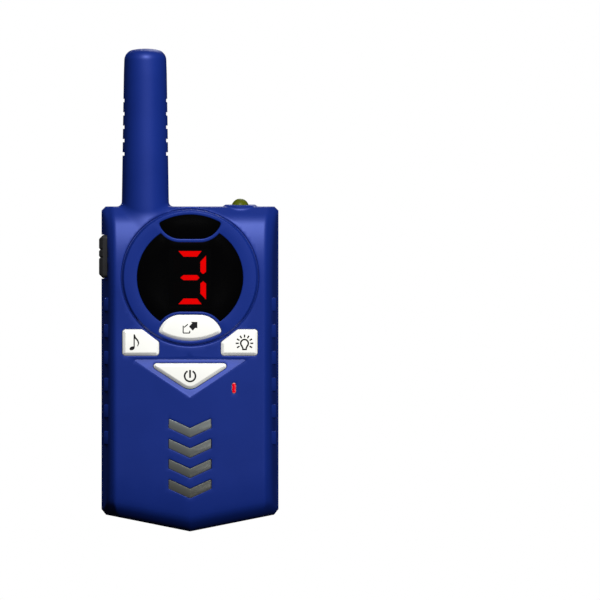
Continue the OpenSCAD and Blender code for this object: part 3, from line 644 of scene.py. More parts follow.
def round_grid(cx, r, z0):
    """A finer grid about a foot that rises from the shoulder."""
    above = BODY_H + np.array([0.006, 0.03, 0.08, 0.18, 0.35])
    return grid(foot_columns(cx, r), np.concatenate([np.arange(z0, BODY_H - 0.45, 0.4), TOP_ROWS, above]))


def antenna_grid():
    """Columns up the antenna at even angles, with rows at its fillet, beside each notch and at its tip."""
    reach = NOTCH_H / 2
    beside = (-reach - NOTCH_LIP, -reach + 0.1, 0, reach - 0.1, reach + NOTCH_LIP)
    rows = np.concatenate([BODY_H + np.array([0.6, 0.9, 1.25, 1.6, 2.2]),
                           *plain_rows(), [z + s for z in NOTCH_Z for s in beside],
                           TIP_ROUND_Z + TIP_ROUND * np.sin(np.radians(np.arange(0, 80, 7))),
                           TIP_Z - TIP_DOME * np.array([0.8, 0.55, 0.3, 0.1])])
    points = []
    for z in rows:
        flare = max(0.0, 1 - (z - BODY_H) / ANTENNA_FILLET)
        r = float(antenna_r(np.array(z))) + ANTENNA_FILLET * (1 - sqrt(1 - flare * flare))
        points += [(ANTENNA_X + r * sin(a), z) for a in np.radians(np.arange(-85, 86, 5))]
    return np.array(points)


def shell_points(foot_r, fine_from):
    """All free points of one shell."""
    rod_z, boss_z = BODY_H - 7, BODY_H - 5
    coarse = case_grid(foot_r, fine_from)
    by_rod = (np.abs(coarse[:, 0] - ANTENNA_X) < ROD_REACH) & (coarse[:, 1] > rod_z)
    by_boss = (np.abs(coarse[:, 0] - TORCH_X) < BOSS_REACH) & (coarse[:, 1] > boss_z)
    return np.concatenate([coarse[~(by_rod | by_boss)], round_grid(ANTENNA_X, ROD_GRID_R, rod_z),
                           round_grid(TORCH_X, BOSS_FOOT_R, boss_z), antenna_grid()])


def thinned(points, outline, gaps, loops, loop_gaps):
    """The points left once those too near an edge are gone. Each pair of gaps is for the case and its top rows."""
    top = (np.abs(points[:, 1] - BODY_H) < 0.5) & (np.abs(points[:, 0]) < HALF_W - CORNER_TOP - 0.4)
    rod = points[:, 1] >= BODY_H + 0.5
    kept = [clear_of(clear_of(points[zone], [outline], gap), loops, loop_gap)
            for zone, gap, loop_gap in zip((~top & ~rod, top), gaps, loop_gaps)]
    return np.concatenate([*kept, clear_of(points[rod], [outline], 0.02)])


# ---- shells, cover and clip


def rim(surface, loop, depth, inward, deep, edge=HOLE_EDGE):
    """Rings of one opening: the loop to hold in the sheet, and a function that adds the rolled edge and the
    wall once the sheet is made. inward is 1 for the front and -1 for the rear."""
    outer = moved_out(loop, edge)
    held = depth(*outer.T)
    top = depth(*loop.T)

    def finish(ids):
        for t in (1 / 3, 2 / 3, 1):
            a = t * pi / 2
            y = held * (1 - t) + top * t + inward * edge * (1 - cos(a))
            ids = surface.wall(ids, moved_out(loop, edge * (1 - sin(a))), y)
        surface.wall(ids, loop, np.maximum(top * inward + edge * 1.2, deep * inward) * inward)

    return (outer, held), finish


def seam_skirt(surface, ids, outline, heights, inward, skip):
    """Closes the outline back to the parting plane, with a small groove there."""
    level = PART_Y - inward * SEAM
    first = surface.take(at_depth(outline, np.where(heights * inward < level * inward, level, heights)))
    second = surface.take(at_depth(moved_out(outline, -SEAM), PART_Y))
    for k in [*range(1, len(ids)), 0]:
        if not (skip[k - 1] and skip[k]):
            surface.faces += [(a[k - 1], a[k], b[k], b[k - 1]) for a, b in ((ids, first), (first, second))]


def shell_sheet(depth, inward, notch_x, holes, steps, foot_r, fine_from, extra=(), own_depth=None):
    """One shell as a sheet over its silhouette, with its openings and its seam edge. holes are (loop, deep,
    depth function) openings and steps are (points, depths) loops to hold."""
    surface = Surface()
    outline = silhouette(notch_x)
    level = PART_Y - inward * SEAM
    heights = depth(*outline.T)
    heights = np.where(heights * inward > level * inward, level, heights)
    rims = [rim(surface, loop, at, inward, deep, *edge) for loop, deep, at, *edge in holes]
    hole_loops = [held for held, _ in rims]
    free = shell_points(foot_r, fine_from)
    free = free[inside(free, outline)]
    if len(extra):
        free = np.concatenate([free, extra])
    for loop, _ in hole_loops:
        free = free[~inside(free, loop)]
    free = thinned(free, outline, (0.1, 0.004), [p for p, _ in hole_loops + steps], (0.3, 0.12))
    found = surface.patch((outline, heights), hole_loops, steps, free, own_depth or depth)
    for ids, (_, finish) in zip(found[1:], rims):
        finish(ids)
    notch = (np.abs(outline[:, 0] - notch_x) < 0.01) & (np.abs(outline[:, 1] - PTT_Z) < PTT_HALF_H + 1)
    seam_skirt(surface, found[0], outline, heights, inward, notch)
    return surface


def recess_floor(x, z):
    floor = FRONT_Y + (z - RECESS[0][1]) * tan(radians(RECESS_TILT))
    return np.maximum(front_depth(x, z), floor)


def recess_steps():
    """Loops that hold the rolled edge and the foot of the wall round the recess."""
    loop = recess(0)
    face = front_depth(*loop.T)
    edge = np.clip(0.45 * (recess_floor(*loop.T) - face), 0.004, HOLE_EDGE)
    foot = moved_out(loop, -0.03)
    return [(moved_out(loop, edge * (1 - sin(a)) + 0.012), face + edge * (1 - cos(a)))
            for a in np.radians([0, 45, 90])] + [(foot, recess_floor(*foot.T))]


def front_own_depth(x, z):
    hole = inside(np.stack([x, z], 1), recess(0))
    return np.where(hole, recess_floor(x, z), front_depth(x, z))


def rib_pads():
    """The grip pads down both sides, each a drafted block with rolled edges."""
    pads = Surface()
    flank = [(26.4, PART_Y - 2.9), (26.4, PART_Y - 10), (27.1, PART_Y - 10), (29.15, PART_Y - 7.5),
             (29.15, PART_Y - 2.9)]
    half = [(0, -0.3), (0.09, -0.09), (0.3, 0)]
    rows = half + [(RIB_H - dz, g) for dz, g in half[::-1]]
    loops = [(dz, grown(flank, [0.3, 0.6, 0.7, 0.1, 0.1], g)) for dz, g in rows]
    for z in RIBS_Z:
        for side in (-1, 1):
            pads.tube([[(side * p[0], p[1], z + dz) for p in loop] for dz, loop in loops])
    return pads


def front_shell():
    key_floor = FRONT_Y + 2.2
    holes = [(bezel_circle(0.25), FRONT_Y + 1.9, front_depth, 0.5),
             (left_key(KEY_GAP), key_floor, front_depth), (right_key(KEY_GAP), key_floor, front_depth),
             (power_key(KEY_GAP), FRONT_Y + 5.5, recess_floor), (pill(0.08), key_floor, front_depth)]
    holes += [(chevron(z, 0.1), key_floor, front_depth) for z in CHEVRON_Z]
    floor = grid(np.arange(-18, 18.1, 1.0), np.arange(46, 58.3, 0.8))
    floor = floor[inside(floor, recess(-0.4))]
    surface = shell_sheet(front_depth, 1, NOTCH_FRONT_X, holes, recess_steps(), 5, 95, floor, front_own_depth)
    surface.solid("front_shell_skin", BLUE, node="front_shell", wall=0.55, angle=38, out=-1)
    rib_pads().solid("grip_pads", BLUE, slot=NODE_SLOT["front_shell"], angle=45)


def cover_loop(g):
    """Outline of the battery cover with the ear for its screw, grown by g, and lower still round the hinge."""
    x, top, low = COVER_X + g, COVER_TOP + g, HINGE_Z - 0.3 - 4.7 * g
    r = COVER_EAR_R + g
    a = degrees(asin((top - COVER_SCREW_Z) / r))
    c = 0.9 + g
    return np.concatenate([arc((-x + 0.3, low + 0.3), 0.3, 180, 270, 3), arc((x - 0.3, low + 0.3), 0.3, 270, 360, 3),
                           arc((x - c, top - c), c, 0, 90, 6), arc((0, COVER_SCREW_Z), r, a, 180 - a, 22),
                           arc((-x + c, top - c), c, 90, 180, 6)])


def plate(surface, outer, holes, y):
    """A flat sheet at one depth, with holes."""
    return surface.patch((outer, y), [(h, y) for h in holes])


def rear_shell():
    opening = cover_loop(0.2)
    ledge, bay_floor, post_floor = COVER_Y - 0.1, PART_Y + 1.4, PART_Y + 5
    wells = [circle((s * POST_X, z), WELL_R, 36) for s in (-1, 1) for z in POST_Z]
    holes = [(opening, ledge, rear_depth)] + [(w, post_floor, rear_depth) for w in wells]
    surface = shell_sheet(rear_depth, -1, NOTCH_REAR_X, holes, [], 4, 100)
    half = COVER_X + 0.05
    pockets = [(rect(-half, HINGE_Z - 1.1, half, HINGE_Z + 1.65), HINGE_Y - 1.7),
               (rect(-BAY_X, BAY_LOW, BAY_X, BAY_TOP), bay_floor), (circle((0, COVER_SCREW_Z), SCREW_R, 24), PART_Y + 6)]
    pockets = [(np.array(loop), floor) for loop, floor in pockets]
    mouths = plate(surface, opening, [loop for loop, _ in pockets], ledge)[1:]
    for mouth, (loop, floor) in zip(mouths, pockets):
        surface.cap(surface.wall(mouth, loop, floor))
    for w in wells:
        plate(surface, w, [circle(w.mean(0), SCREW_R, 24)], post_floor)
    surface.solid("rear_shell_skin", BLUE, node="rear_shell", wall=0.5, angle=38, out=1)
    ears = Surface()
    for s in (-1, 1):
        prism_x(ears, d_profile(EAR_R, BACK_Y - 0.5), s * EAR_X - EAR_HALF, s * EAR_X + EAR_HALF, 0.3)
    ears.solid("clip_ears", BLUE, slot=NODE_SLOT["rear_shell"], angle=45)


def d_profile(r, y_base):
    """Section (y, z) of a lug round the clip's axis that runs back to y_base."""
    side = 1 if y_base > CLIP_Y else -1
    base = [(y_base, CLIP_Z - side * r), (y_base, CLIP_Z + side * r)]
    return np.concatenate([arc((CLIP_Y, CLIP_Z), r, side * 90, side * 90 + 180, 18), base])


def battery_cover():
    surface = Surface()
    prism_y(surface, cover_loop(0), COVER_Y, BACK_Y, 0.15, 0.35)
    for x, r, n in ((COVER_X, HINGE_R, 40), (19.3, 0.8, 24)):
        turned(surface, (0, HINGE_Y, HINGE_Z), [(-x, r - 0.2), (-x + 0.2, r), (x - 0.2, r), (x, r - 0.2)], n, "x")
    for k in range(5):
        x, z = 7.5 - 0.7 * abs(k - 2), 50 + 1.9 * k
        prism_y(surface, rounded(rect(-x, z, x, z + 0.9), [0.42] * 4), BACK_Y - 0.4, BACK_Y + 0.4, 0.05, 0.3)
    surface.solid("battery_cover_skin", BLUE, "cover", "battery_cover")


def belt_clip():
    surface = Surface()
    lo, hi = CLIP_LO, CLIP_HI
    arm_y = hi[1] - 2.2
    arm = rounded(rect(lo[0], lo[2], hi[0], hi[2]), [4, 4, 2, 2], 8)
    prism_y(surface, arm, arm_y, hi[1] - 0.3, 0.3, 0.7)
    for x0 in (-8, 3.4):
        prism_x(surface, d_profile(ARM_EAR_R, arm_y + 0.5), x0, x0 + 4.6, 0.25)
    lip = rounded(rect(lo[0] + 3, lo[2] + 0.3, hi[0] - 3, lo[2] + 2.6), [0.8] * 4)
    prism_y(surface, lip, BACK_Y + 0.3, hi[1] - 1, 0.5, 0.1)
    for k in range(4):
        z = lo[2] + 6 + 2.4 * k
        prism_y(surface, rounded(rect(-5.2, z, 5.2, z + 1), [0.48] * 4), hi[1] - 0.6, hi[1], 0.05, 0.25)
    surface.solid("belt_clip_arm", BLUE, "clip", "belt_clip")


def clip_spring():
    """The torsion spring on the clip's pin. One leg rests on the case and the other on the clip."""
    coil_r, half, turns, steps, wire = 1.75, 2.6, 5, 24, 0.29
    hinge = np.array([0, CLIP_Y, CLIP_Z])
    n = turns * steps
    turn = np.radians(360 * np.arange(n + 1) / steps)
    coil = np.stack([np.linspace(-half, half, n + 1), -coil_r * np.cos(turn), coil_r * np.sin(turn)], 1)
    lo, hi = box_mm("clip_spring")
    case_leg = [(-half, lo[1] + wire - hinge[1], -8), (-half, -coil_r, -1.4)]
    clip_leg = [(half, -coil_r, 1.4), (half, hi[1] - wire - hinge[1], 6)]
    line = np.concatenate([case_leg, coil, clip_leg]) + hinge
    rings = []
    for k, point in enumerate(line):
        along = line[min(k + 1, len(line) - 1)] - line[max(k - 1, 0)]
        side = np.cross(along, [1, 0, 0])
        side /= np.linalg.norm(side)
        up = np.cross(side, along / np.linalg.norm(along))
        rings.append([point + wire * (cos(a) * side + sin(a) * up) for a in np.radians(range(0, 360, 45))])
    surface = Surface()
    surface.tube(rings)
    spring = surface.solid("clip_spring_wire", CAD_LOOKS["spring_steel"], None, "clip_spring", angle=50)
    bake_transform(spring)


# ---- display and keys


def display_bezel():
    surface = Surface()
    flat = flat_at(BEZEL_Y)
    holes = [(display_hole(0), BEZEL_Y + 1.9), (lens(0.12, CALL_FLAT, -1), BEZEL_Y + 2.2),
             (lens(0, TOP_FLAT, 1), BEZEL_Y + 1.9)]
    rims = [rim(surface, loop, flat, 1, deep, 0.3) for loop, deep in holes]
    last, *found = surface.patch((bezel_circle(-0.78), BEZEL_Y), [held for held, _ in rims])
    for ids, (_, finish) in zip(found, rims):
        finish(ids)
    gap = bezel_circle(0.34)
    floor = np.maximum(FRONT_Y + 1.2, front_depth(*gap.T) + 1.0)
    edge = ((-0.7, 0.015), (-0.62, 0.07), (-0.55, 0.15), (-0.1, 0.75), (-0.03, 0.88), (0, 1))
    for grow, y in [(g, BEZEL_Y + d) for g, d in edge] + [(0, floor), (0.34, floor), (0.34, BEZEL_BACK)]:
        last = surface.wall(last, bezel_circle(grow), y)
    surface.solid("display_bezel_ring", BLUE_RING, node="display_bezel", wall=0.5, angle=38, out=-1)


def display_shade_card():
    """Near-black card behind the window, open over the digit: a sheet of painted shade that stands in for the dark
    inside of the case, which the key lamp, casting no shadow, would otherwise light.
    """
    surface = Surface()
    lo, hi = box_mm("display_module")
    y = WINDOW_BACK + 0.1
    plate(surface, display_hole(1.2), [np.array(rect(lo[0] + 0.3, lo[2] + 0.3, hi[0] - 0.3, hi[2] - 0.3))], y)
    # painted shade: a second near-black sheet behind the top lens
    plate(surface, lens(0.9, TOP_FLAT, 1), [], y + 0.3)
    surface.solid("display_shade_card", CAD_LOOKS["black_plastic"], slot="black_plastic", wall=0.15, out=-1)


def digit():
    """The lit figure: two bars and two uprights, mirrored about the middle bar."""
    lo, hi = box_mm("lit_segments")
    shapes = [[(-3.25, 0), (-2.2, -0.85), (2.4, -0.85), (3.2, 0), (2.4, 0.85), (-2.2, 0.85)]]
    for s in (-1, 1):
        shapes.append([(-3.9, 9 * s), (3.9, 9 * s), (2.4, 7.1 * s), (-2.2, 7.1 * s)])
        shapes.append([(5.42, 7.4 * s), (5.42, 1.95 * s), (4.4, 1.25 * s), (3.53, 2.0 * s), (3.53, 5.4 * s)])
    surface = Surface()
    for shape in shapes:
        loop = np.array(shape) + [0, (lo[2] + hi[2]) / 2]
        surface.loft([(loop, lo[1]), (loop, hi[1])])
    surface.solid("digit_bars", CAD_LOOKS["lit_red"], node="lit_segments", angle=30)


def keys():
    """The white keys: each has a flat top, a drafted bevel all round and straight sides."""
    top, low = KEY_Y + 0.03, FRONT_Y + 2.1
    for name, outline_at, y_low in (("call", lambda g: lens(g, CALL_FLAT, -1), low), ("music", left_key, low),
                                    ("light", right_key, low), ("power", power_key, FRONT_Y + 5.4)):
        surface = Surface()
        steps = ((0, y_low), (0, top + 1.02), (-0.05, top + 0.9), (-0.16, top + 0.81), (-0.84, top + 0.1),
                 (-1, top + 0.025), (-1.16, top))
        surface.loft([(outline_at(g), y) for g, y in steps])
        surface.solid(name + "_key_cap", KEY_WHITE, name + "_key", name + "_button", weld=0.002, angle=24)


class Ink:
    """A printed symbol, made of thin raised shapes on a key's top."""

    def __init__(self, x, z):
        self.origin = np.array([x, z])
        self.surface = Surface()

    def shape(self, loop):
        loop = np.array(loop, float)
        area = np.cross(loop, np.roll(loop, -1, axis=0)).sum()
        loop = (loop if area > 0 else loop[::-1]) + self.origin
        self.surface.loft([(loop, KEY_Y + INK_H), (loop, KEY_Y)])

    def ring(self, r, width, a0, a1, n):
        self.shape(np.concatenate([arc((0, 0), r, a0, a1, n), arc((0, 0), r - width, a0, a1, n)[::-1]]))

    def bar(self, a, b, width):
        a, b = np.array(a, float), np.array(b, float)
        t = (b - a) / np.linalg.norm(b - a)
        n = np.array([-t[1], t[0]]) * width / 2
        self.shape([a - n, b - n, b + n, a + n])

    def done(self, name, body):
        self.surface.solid(name, INK, body, slot="key_white", weld=0.0005, angle=30)


def symbols():
    power = Ink(0.02, 52.7)
    power.ring(2.13, 0.58, 117, 423, 44)
    power.bar((0, -0.6), (0, 2.05), 0.62)
    power.done("power_symbol", "power_key")

    note = Ink(-19.63, 62.1)
    t, tilt = np.radians(np.arange(0, 360, 12)), radians(24)
    c, s = cos(tilt), sin(tilt)
    u, v = 0.9 * np.cos(t), 0.62 * np.sin(t)
    note.shape(np.stack([u * c - v * s, u * s + v * c], 1))
    note.bar((0.7, 0.1), (0.7, 4.7), 0.4)
    note.shape([(0.62, 4.75), (0.9, 4.75), (1.3, 3.75), (2.06, 2.9), (2.45, 1.75), (1.95, 0.62), (1.72, 0.72),
                (1.98, 1.6), (1.72, 2.5), (1.05, 3.2), (0.62, 3.4)])
    note.done("note_symbol", "music_key")

    bulb = Ink(18.49, 63.8)
    bulb.ring(1.56, 0.54, -58, 238, 40)
    for side in (-1, 1):
        bulb.bar((side * 0.98, -0.85), (side * 0.56, -1.6), 0.5)
        bulb.bar((side * 0.58, -1.5), (side * 0.58, -2.2), 0.46)
    bulb.bar((-0.78, -2.08), (0.78, -2.05), 0.5)
    for a in np.radians(range(-30, 211, 30)):
        d = np.array([cos(a), sin(a)])
        bulb.bar(d * 1.95, d * 2.98, 0.5)
    bulb.done("bulb_symbol", "light_key")

    arrows = Ink(0, 69.16)
    arrows.shape([(0.34, 1.9), (2.5, 1.9), (2.5, -0.28), (1.81, -0.1), (0.93, -1.08), (-0.32, 0.34), (0.71, 1.4)])
    for a, b in (((-0.72, 1.1), (-2.0, 0.05)), ((-2.32, 0.6), (-2.32, -1.88)), ((-2.32, -1.88), (-0.12, -1.88)),
                 ((-0.12, -1.88), (-0.05, -1.1)), ((-2.32, -1.88), (-2.32, -1.7))):
        arrows.bar(a, b, 0.36)
    arrows.done("arrows_symbol", "call_key")


def chevron_plates():
    """The speaker's chevrons, a little proud at the middle and following the fall of the face to each side."""
    surface = Surface()
    for z in CHEVRON_Z:
        rings = []
        for g, y in ((0, 2.02), (0, 0.3), (-0.06, 0.19), (-0.18, 0.15)):
            ring = moved_out(chevron(z, -0.02), g)
            rings.append((ring, FRONT_Y + y + 0.11 * np.abs(ring[:, 0])))
        surface.loft(rings, high=False)
        surface.patch(rings[-1], points=[(0, z - CHEVRON_DROP - 1.6)], depth=flat_at(FRONT_Y + 0.15))
    surface.solid("speaker_chevrons", GRILLE, node="speaker_grille", weld=0.003, angle=20)


def indicator():
    surface = Surface()
    surface.loft([(pill(g), FRONT_Y + y) for g, y in ((0, 2.0), (0, 0.3), (-0.08, 0.12), (-0.25, 0.04),
                                                      (-0.45, 0.01))])
    surface.solid("indicator_lens", LAMP_RED, node="indicator_light", weld=0.002)


def ptt_rubber():
    """The talk button: a rubber pad with drafted edges and two V grooves across it."""
    back_x, corner_r, margin = -25.8, 1.3, 1.45
    grooves, groove_deep, groove_half = (92.9, 95.6), 0.45, 0.5
    outline = rounded(rect(PART_Y - PTT_HALF_D, PTT_Z - PTT_HALF_H, PART_Y + PTT_HALF_D, PTT_Z + PTT_HALF_H),
                      [corner_r] * 4, 8)

    def depth(y, z):
        d = -round_max(np.abs(y - PART_Y) - PTT_HALF_D, np.abs(z - PTT_Z) - PTT_HALF_H, corner_r)
        edge = np.clip(margin - d, 0, 2)
        x = PTT_FACE + np.where(edge > 0.25, edge - 0.125, edge**2 * 2)
        for g in grooves:
            x += groove_deep * np.clip(1 - np.abs(z - g) / groove_half, 0, 1)
        return x

    surface = Surface()
    rows = np.sort(np.concatenate([np.linspace(PTT_Z - 7.15, PTT_Z + 7.15, 44),
                                   [g + s for g in grooves for s in (-0.5, -0.25, 0, 0.25, 0.5)]]))
    free = grid(PART_Y + np.linspace(-6.7, 6.7, 40), rows)
    free = clear_of(free[inside(free, outline)], [outline], 0.08)
    ring = surface.patch((outline, depth(*outline.T)), points=free, depth=depth)[0]
    surface.cap(surface.wall(ring, outline, back_x))
    surface.verts = [(x, y, z) for y, x, z in surface.verts]
    surface.solid("talk_button_pad", RUBBER, "ptt", "ptt_button", weld=0.002, angle=50)


def torch_dome():
    surface = Surface()
    r, lo, hi = 3.0, *box_mm("torch_lens")
    profile = [(lo[2], r), (hi[2] - r, r)]
    profile += [(hi[2] - r + r * sin(a), r * cos(a)) for a in np.radians(np.arange(6, 88, 6))]
    turned(surface, (TORCH_X, PART_Y, 0), profile, 56, "z")
    surface.solid("torch_dome", OLIVE, node="torch_lens", angle=30)


# ---- materials


def fill(node, inputs):
    """Gives each input of a shader node its value, or links it to another node's output."""
    for key, value in inputs.items():
        if isinstance(value, bpy.types.NodeSocket):
            node.id_data.links.new(value, node.inputs[key])
        else:
            node.inputs[key].default_value = value
    return node


def shader(tree, kind, inputs=(), **settings):
    node = tree.nodes.new("ShaderNode" + kind)
    for key, value in settings.items():
        setattr(node, key, value)
    return fill(node, dict(inputs))


def noise(tree, scale, detail, where):
    return shader(tree, "TexNoise", {"Scale": scale, "Detail": detail, "Vector": where}).outputs["Fac"]


def ramp(tree, factor, stops, interpolation="LINEAR"):
    """A colour ramp of (position, colour) stops."""
    node = shader(tree, "ValToRGB")
    node.color_ramp.interpolation = interpolation
    while len(node.color_ramp.elements) < len(stops):
        node.color_ramp.elements.new(0.5)
    for element, (at, colour) in zip(node.color_ramp.elements, stops):
        element.position = at
        element.color = (*colour, 1)
    return fill(node, {"Fac": factor}).outputs["Color"]


def height_ramp(tree, coords, z0, z1, stops, interpolation="LINEAR"):
    """A colour ramp along Z, from z0 to z1 in millimetres."""
    split = shader(tree, "SeparateXYZ", {0: coords})
    spread = shader(tree, "MapRange", {"From Min": z0 * MM, "From Max": z1 * MM, "Value": split.outputs["Z"]})
    return ramp(tree, spread.outputs["Result"], stops, interpolation)


def shade(colour, k):
    return tuple(min(1.0, c * k) for c in colour)


def rubbed(tree, base, colour, amount, coords):
    """The base colour, paler in patches along the edges."""
    edges = ramp(tree, shader(tree, "NewGeometry").outputs["Pointiness"], [(0.53, (0, 0, 0)), (0.6, (1, 1, 1))])
    gate = shader(tree, "Math", {0: edges, 1: noise(tree, 900, 2, coords)}, operation="MULTIPLY")
    much = shader(tree, "Math", {0: gate.outputs[0], 1: amount}, operation="MULTIPLY")
    pale_wear_and_highlight = (*[min(1, c * 1.5 + 0.02) for c in colour], 1)
    return shader(tree, "Mix", {"Factor": much.outputs[0], "A": base, "B": pale_wear_and_highlight}, data_type="RGBA").outputs["Result"]


def finish(name, colour, rough, grain, bump, vary=0.06, patch_scale=60.0, wear=0.0, inputs=()):
    """A material whose colour drifts slightly and whose roughness varies, with a fine moulded grain and, where
    wear is given, rubbed edges. Returns it, its node tree, its main shader and the object coordinates."""
    mat = bpy.data.materials.new(name)
    mat.use_nodes = True
    tree = mat.node_tree
    bsdf = tree.nodes["Principled BSDF"]
    coords = shader(tree, "TexCoord").outputs["Object"]
    broad = noise(tree, patch_scale, 3, coords)
    base = ramp(tree, broad, [(0.3, shade(colour, 1 - vary)), (0.7, shade(colour, 1 + vary))])
    if wear:
        base = rubbed(tree, base, colour, wear, coords)
    fine = noise(tree, grain, 2, coords)
    spread = shader(tree, "MapRange", {"To Min": rough - 0.05, "To Max": rough + 0.05, "Value": broad})
    bumps = shader(tree, "Bump", {"Strength": bump, "Distance": 0.0001, "Height": fine})
    fill(bsdf, {"Base Color": base, "Roughness": spread.outputs["Result"], "Normal": bumps.outputs["Normal"],
                **dict(inputs)})
    return mat, tree, bsdf, coords


def plastic(name, colour, rough=0.4, grain=6000, bump=0.15, vary=0.05, specular=0.5, wear=0.0, coat=0.0,
            tint=(1, 1, 1)):
    inputs = {"Specular IOR Level": specular, "Specular Tint": (*tint, 1), "Coat Weight": coat}
    return finish(name, colour, rough, grain, bump, vary, wear=wear, inputs=inputs)[0]


def metal(name, colour, rough):
    return finish(name, colour, rough, 3000, 0.1, 0.08, 300, inputs={"Metallic": 1})[0]


def glowing(name, colour, strength):
    mat, tree, bsdf, coords = finish(name, colour, 0.5, 3000, 0.05, 0.04)
    glow = ramp(tree, noise(tree, 400, 2, coords), [(0.3, shade(colour, 0.94)), (0.7, colour)])
    fill(bsdf, {"Emission Color": glow, "Emission Strength": strength, "Specular IOR Level": 0})
    return mat


def satin_grey():
    """Grey with a faint metallic sheen, painted lighter at the top and darker towards the foot as shade from the lamps
    above.
    """
    mat, tree, bsdf, coords = finish("speaker_grey", (0.27, 0.28, 0.25), 0.3, 9000, 0.1, 0.08)
    # painted light and shade: the grey is ramped from light at the top chevron to dark at the foot
    grey_with_painted_shade = height_ramp(tree, coords, 10, 40, [(0.0, (0.18, 0.18, 0.155)), (1.0, (0.335, 0.365, 0.36))])
    fill(bsdf, {"Base Color": grey_with_painted_shade, "Metallic": 0.7})
    return mat


def indicator_red():
    mat, tree, bsdf, coords = finish("indicator_red", (0.65, 0.0, 0.01), 0.2, 3000, 0.03)
    # painted highlight: the pale ends of the ramp stand in for light caught on the lens's rounded ends, and they glow
    # with the red
    pale_wear_and_highlight, red = (0.6, 0.36, 0.4), (0.66, 0.0, 0.012)
    stops = [(0.0, pale_wear_and_highlight), (0.14, red), (0.86, red), (1.0, pale_wear_and_highlight)]
    band = height_ramp(tree, coords, LIGHT_Z - 1.95, LIGHT_Z + 1.95, stops)
    fill(bsdf, {"Base Color": band, "Emission Color": band, "Emission Strength": 0.2})
    return mat


def battery_wrap(name, positive_up):
    """A printed cell: a copper coloured band at the positive end, bare steel ends."""
    mat, tree, bsdf, coords = finish(name, (0.02, 0.02, 0.022), 0.3, 3000, 0.05)
    steel, copper, black = (0.6, 0.6, 0.6), (0.72, 0.36, 0.1), (0.012, 0.012, 0.014)
    stops = [(0.0, steel), (0.025, black), (0.7, copper), (0.965, steel)]
    if not positive_up:
        stops = [(0.0, steel), (0.035, copper), (0.3, black), (0.975, steel)]
    band = height_ramp(tree, coords, BAY_LOW + 0.45, BAY_TOP - 0.45, stops, "CONSTANT")
    fill(bsdf, {"Base Color": band, "Metallic": 0.55})
    return mat


def board_green():
    """Solder mask over faint tracks."""
    mat, tree, bsdf, coords = finish("circuit_board", (0.01, 0.13, 0.05), 0.35, 3000, 0.05)
    lines = shader(tree, "TexBrick", {"Scale": 420, "Color1": (0.008, 0.11, 0.04, 1), "Color2": (0.012, 0.15, 0.055, 1),
                                      "Mortar": (0.03, 0.26, 0.1, 1), "Mortar Size": 0.02})
    turn = shader(tree, "Mapping", {"Rotation": (pi / 2, 0, 0), "Vector": coords})
    fill(lines, {"Vector": turn.outputs["Vector"]})
    fill(bsdf, {"Base Color": lines.outputs["Color"]})
    return mat


CASE_COLOUR = (0.0058, 0.0212, 0.179)
SHEEN = (0.3, 0.38, 1)
BLUE = plastic("case_blue", CASE_COLOUR, 0.47, 5200, 0.10, 0.05, 1.0, wear=0.35, tint=SHEEN)
BLUE_RING = plastic("ring_blue", shade(CASE_COLOUR, 1.02), 0.45, 5200, 0.10, 0.04, 0.8, tint=SHEEN)
KEY_WHITE = plastic("key_white", (0.93, 0.93, 0.88), 0.3, 5000, 0.04, 0.02, 0.4)
INK = plastic("printed_black", (0.012, 0.012, 0.013), 0.5, 8000, 0.1, 0.1, 0.2)
GRILLE = satin_grey()
RUBBER = plastic("talk_rubber", (0.02, 0.02, 0.021), 0.5, 4000, 0.2, 0.12, 0.6)
LAMP_RED = indicator_red()
OLIVE = plastic("torch_olive", (0.075, 0.095, 0.004), 0.4, 3000, 0.02, 0.08, 0.15)

# Looks of the CAD nodes that stay in view, by material slot.
CAD_LOOKS = {
    "smoked": finish("smoked_window", (0.0012, 0.0012, 0.0014), 0.1, 3000, 0.01, 0.1,
                     inputs={"Specular IOR Level": 0.05, "Alpha": 0.5})[0],
    "steel": metal("plated_steel", (0.52, 0.52, 0.53), 0.3),
    "spring_steel": metal("spring_wire", (0.45, 0.45, 0.46), 0.35),
    "copper": metal("copper_wire", (0.72, 0.33, 0.15), 0.3),
    "black_plastic": plastic("black_plastic", (0.0015, 0.0015, 0.0015), 0.6, 4000, 0.1, 0.1, 0.05),
    "white_plastic": plastic("white_plastic", (0.75, 0.75, 0.72), 0.45),
    "lit_red": glowing("lit_segment", (1.0, 0.0, 0.0), 2.5),
    "dark_segment": plastic("dark_segment", (0.003, 0.001, 0.001), 0.6, 3000, 0.05, specular=0.05),
    "silicone": plastic("grey_silicone", (0.2, 0.21, 0.22), 0.6, 2500, 0.2),
    "board": board_green(),
    "clear_led": plastic("led_resin", (0.75, 0.72, 0.5), 0.12, 3000, 0.02, coat=0.5),
    "foam": plastic("dark_foam", (0.03, 0.03, 0.032), 0.9, 1800, 0.9, 0.25, 0.1),
    "cone_paper": plastic("cone_paper", (0.02, 0.02, 0.02), 0.8, 2200, 0.5, 0.15, 0.2),
    "cap_sleeve": plastic("capacitor_sleeve", (0.02, 0.03, 0.12), 0.3, 3000, 0.05),
    "wire_red": plastic("red_wire", (0.5, 0.01, 0.01), 0.45),
    "wire_black": plastic("black_wire", (0.012, 0.012, 0.012), 0.5),
    "wire_yellow": plastic("yellow_wire", (0.6, 0.42, 0.02), 0.45),
    "wire_white": plastic("white_wire", (0.7, 0.7, 0.68), 0.45),
}
CELLS = {"battery_1": battery_wrap("cell_up", True), "battery_3": battery_wrap("cell_up_too", True),
         "battery_2": battery_wrap("cell_down", False)}


def finish_cad_nodes():
    """Materials for the CAD nodes that stay in view."""
    for name, obj in frame["nodes"].items():
        if not obj.hide_render:
            obj.data.materials.clear()
            obj.data.materials.append(CELLS.get(name) or CAD_LOOKS.get(NODE_SLOT[name]))


# ---- light, floor, camera; in metres


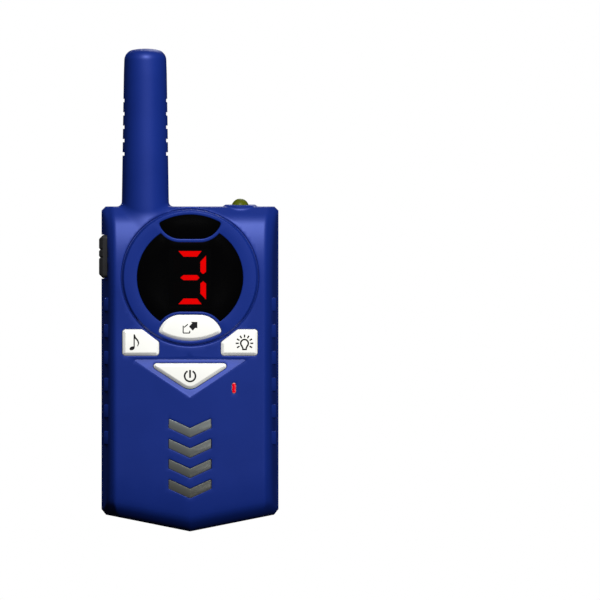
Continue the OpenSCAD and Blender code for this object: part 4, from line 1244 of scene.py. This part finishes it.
def area_light(name, where, size, power, shadow=True, gloss=True, diffuse=True):
    """A round lamp aimed at the middle of the toy."""
    data = bpy.data.lights.new(name, "AREA")
    data.shape = "DISK"
    data.size = size
    data.energy = power
    data.use_shadow = shadow
    light = bpy.data.objects.new(name, data)
    light.location = where
    light.rotation_euler = (Vector((0, 0, 0.09)) - Vector(where)).to_track_quat("-Z", "Y").to_euler()
    light.visible_glossy = gloss
    light.visible_diffuse = diffuse
    place(light)


def studio():
    mesh = bpy.data.meshes.new("floor")
    mesh.from_pydata([(x, z, 0) for x, z in rect(-3, -3, 3, 3)], [], [(0, 1, 2, 3)])
    mesh.materials.append(plastic("pale_floor", (0.86, 0.86, 0.85), 0.8, 300, 0.02, 0.01, 0.1))
    floor = bpy.data.objects.new("floor", mesh)
    floor.location.z = -0.0002
    floor.visible_diffuse = False
    floor.visible_glossy = False
    place(floor)

    area_light("key", (0.02, -0.41, 0.475), 0.08, 2.6, shadow=False)
    area_light("fill", (0.2, -0.45, 0.16), 0.25, 1.5, gloss=False)
    area_light("glint", (0.2, -0.5, 0.03), 0.1, 0.08, shadow=False, diffuse=False)
    area_light("back", (-0.3, 0.7, 0.5), 0.4, 9.0, gloss=False)
    area_light("back_glint", (0.1, 0.6, 0.6), 0.3, 1.0, diffuse=False)

    world = bpy.data.worlds.new("studio")
    bpy.context.scene.world = world
    world.use_nodes = True
    tree = world.node_tree
    ambient = fill(tree.nodes["Background"], {"Color": (0.9, 0.93, 1, 1), "Strength": 0.012})
    white = shader(tree, "Background", {"Color": (1, 1, 1, 1)})
    seen = shader(tree, "LightPath").outputs["Is Camera Ray"]
    mix = shader(tree, "MixShader", {"Fac": seen, 1: ambient.outputs[0], 2: white.outputs[0]})
    fill(tree.nodes["World Output"], {"Surface": mix.outputs[0]})


def camera():
    data = bpy.data.cameras.new("camera")
    data.type = "ORTHO"
    data.ortho_scale = 0.2034
    cam = bpy.data.objects.new("camera", data)
    cam.location = (0.03729, -1.0, 0.07848)
    cam.rotation_euler = (pi / 2, 0, 0)
    place(cam)
    bpy.context.scene.camera = cam
    bpy.context.scene.view_settings.view_transform = "Standard"


for build in (front_shell, rear_shell, battery_cover, belt_clip, display_bezel, display_shade_card, digit, clip_spring, keys,
              symbols, chevron_plates, indicator, ptt_rubber, torch_dome, finish_cad_nodes, studio, camera):
    build()

bpy.context.view_layer.update()
